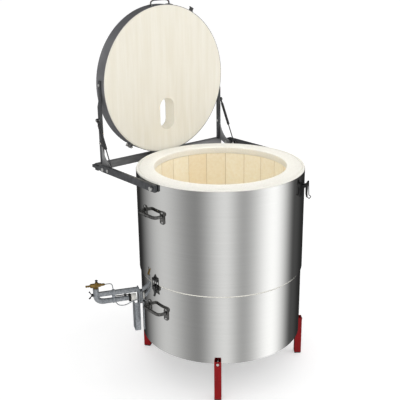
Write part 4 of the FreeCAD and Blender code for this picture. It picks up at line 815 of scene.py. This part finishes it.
side_wall = [(shelf_x, CHANNEL_LOW), (PLATE_FACE, CHANNEL_LOW), (PLATE_FACE, CHANNEL_TOP),
             (shelf_x, CHANNEL_TOP)]
outer_wall = [(-half, CHANNEL_LOW), (half, CHANNEL_LOW), (half, CHANNEL_TOP), (-half, CHANNEL_TOP)]
channel = [prism(plate_edge, PLATE_FACE, PLATE_FACE + PLATE_THICKNESS, 0, 0.7),
           prism(side_wall, -half, CHANNEL_SHEET - half, 1, 0.7),
           prism(outer_wall, shelf_x, shelf_x + CHANNEL_SHEET, 0, 0.7)]
burner_piece("folded_channel", channel, galvanised, "galvanised", ["burner_plate"])
print("burner channel", CHANNEL_TOP - CHANNEL_LOW, "mm tall")

# %% [markdown]
# The studio: a white floor, large soft lamps from the front left and right, a small one into the chamber, and
# a world that is white to the camera and even for diffuse light. Polished steel needs something to mirror, so
# glossy rays see three bright screens, left, front and right, with dimmer cloth between them and darkness
# behind the kiln. Each screen is an azimuth from the camera's direction in degrees and a grey from 0 to 255.
# They are round numbers that give the casing broad light and dark bands where the photograph has them.

# %% Studio
TOWARDS_CAMERA = 230.0
SCREENS = [(-150, 40), (-85, 190), (-35, 130), (5, 210), (30, 160), (75, 250), (120, 70), (150, 40)]
REFLECTANCE = 0.72       # what the casing's steel returns, so the screens are brighter by as much
DIFFUSE_LEVEL = 0.81
FLOOR_HALF, FLOOR_GREY, FLOOR_GLOW = 30.0, 0.82, 0.36
KEY_LAMP = ("key", (-3.2, -3.6, 4.2), (0, 0, 0.7), 2.6, 40.0)
FILL_LAMP = ("fill", (3.0, -2.6, 3.0), (0, 0, 0.8), 2.6, 30.0)
CHAMBER_LAMP = ("chamber", (0, 0, 1.75), (0, 0, 0.3), 0.24, 0.42)
CHAMBER_SPREAD = 30.0


def studio_world():
    """White to the camera, an even grey to diffuse rays, and soft screens by azimuth to glossy rays."""
    world = bpy.data.worlds.new("studio")
    scene.world = world
    world.use_nodes = True
    tree = world.node_tree
    tree.nodes.clear()
    coords = tree.nodes.new("ShaderNodeTexCoord")
    turn = tree.nodes.new("ShaderNodeVectorRotate")
    turn.rotation_type = "Z_AXIS"
    turn.inputs["Angle"].default_value = math.radians(-TOWARDS_CAMERA)
    tree.links.new(coords.outputs["Generated"], turn.inputs["Vector"])
    split = tree.nodes.new("ShaderNodeSeparateXYZ")
    tree.links.new(turn.outputs[0], split.inputs[0])
    around = math_node(tree, "ARCTAN2", split.outputs["Y"], split.outputs["X"])
    place = math_node(tree, "MULTIPLY_ADD", around, 1 / (2 * math.pi))
    place.node.inputs[2].default_value = 0.5
    ramp = tree.nodes.new("ShaderNodeValToRGB")
    stops = ramp.color_ramp.elements
    ramp.color_ramp.interpolation = "EASE"
    for index, (azimuth, grey) in enumerate(SCREENS):
        where = (azimuth + 180) / 360
        stop = stops[index] if index < 2 else stops.new(where)
        stop.position = where
        stop.color = linear(grey, grey, grey)
    tree.links.new(place, ramp.inputs[0])
    shown = {}
    for name, strength in (("camera", 1.0), ("diffuse", DIFFUSE_LEVEL), ("glossy", 1 / REFLECTANCE)):
        light = tree.nodes.new("ShaderNodeBackground")
        light.inputs["Strength"].default_value = strength
        light.inputs["Color"].default_value = (1, 1, 1, 1)
        shown[name] = light
    tree.links.new(ramp.outputs["Color"], shown["glossy"].inputs["Color"])
    path = tree.nodes.new("ShaderNodeLightPath")
    last = shown["diffuse"].outputs[0]
    for ray, name in (("Is Glossy Ray", "glossy"), ("Is Camera Ray", "camera")):
        mix = tree.nodes.new("ShaderNodeMixShader")
        tree.links.new(path.outputs[ray], mix.inputs[0])
        tree.links.new(last, mix.inputs[1])
        tree.links.new(shown[name].outputs[0], mix.inputs[2])
        last = mix.outputs[0]
    out = tree.nodes.new("ShaderNodeOutputWorld")
    tree.links.new(last, out.inputs["Surface"])


def studio_floor():
    """A large matt white square at z = 0, which glossy rays pass so that steel sees the screens below too."""
    h = FLOOR_HALF
    mesh = bpy.data.meshes.new("studio_floor")
    mesh.from_pydata([(-h, -h, 0), (h, -h, 0), (h, h, 0), (-h, h, 0)], [], [(0, 1, 2, 3)])
    floor = bpy.data.objects.new("studio_floor", mesh)
    scene.collection.objects.link(floor)
    material = bpy.data.materials.new("white floor")
    material.use_nodes = True
    shader = material.node_tree.nodes["Principled BSDF"]
    shader.inputs["Base Color"].default_value = (FLOOR_GREY, FLOOR_GREY, FLOOR_GREY, 1)
    shader.inputs["Roughness"].default_value = 1.0
    shader.inputs["Specular IOR Level"].default_value = 0.0
    shader.inputs["Emission Color"].default_value = (1, 1, 1, 1)
    shader.inputs["Emission Strength"].default_value = FLOOR_GLOW
    mesh.materials.append(material)
    floor.visible_glossy = False


def soft_lamp(name, place, target, size, power):
    """A square area lamp facing its target; size in metres, power in watts."""
    data = bpy.data.lights.new(name, "AREA")
    data.size = size
    data.energy = power
    lamp = bpy.data.objects.new(name, data)
    lamp.location = place
    lamp.rotation_euler = (Vector(target) - Vector(place)).to_track_quat("-Z", "Y").to_euler()
    scene.collection.objects.link(lamp)
    lamp.visible_camera = False
    lamp.visible_glossy = False
    return lamp


studio_world()
studio_floor()
soft_lamp(*KEY_LAMP)
soft_lamp(*CHAMBER_LAMP).data.spread = math.radians(CHAMBER_SPREAD)
soft_lamp(*FILL_LAMP)
scene.view_settings.view_transform = "Standard"
print("studio with", len(SCREENS), "screens and gaps")

# %% [markdown]
# The camera was fitted to the photograph's ellipses: the rim, the seam, the casing's foot and the feet.

# %% Camera
CAMERA_PLACE = (-1.67238, -1.92619, 1.52405)
CAMERA_RIGHT = (0.771294, -0.636359, -0.012353)
CAMERA_UP = (0.215747, 0.243137, 0.945694)
FOCAL_PIXELS, FRAME_PIXELS = 729.79, 400.0

lens = bpy.data.cameras.new("camera")
lens.sensor_width = 36.0
lens.lens = FOCAL_PIXELS * lens.sensor_width / FRAME_PIXELS
camera = bpy.data.objects.new("camera", lens)
scene.collection.objects.link(camera)
right, up = Vector(CAMERA_RIGHT).normalized(), Vector(CAMERA_UP).normalized()
axes = Matrix((right, up, right.cross(up))).transposed().to_4x4()
camera.matrix_world = Matrix.Translation(CAMERA_PLACE) @ axes
scene.camera = camera
print("camera lens", round(lens.lens, 2), "mm")
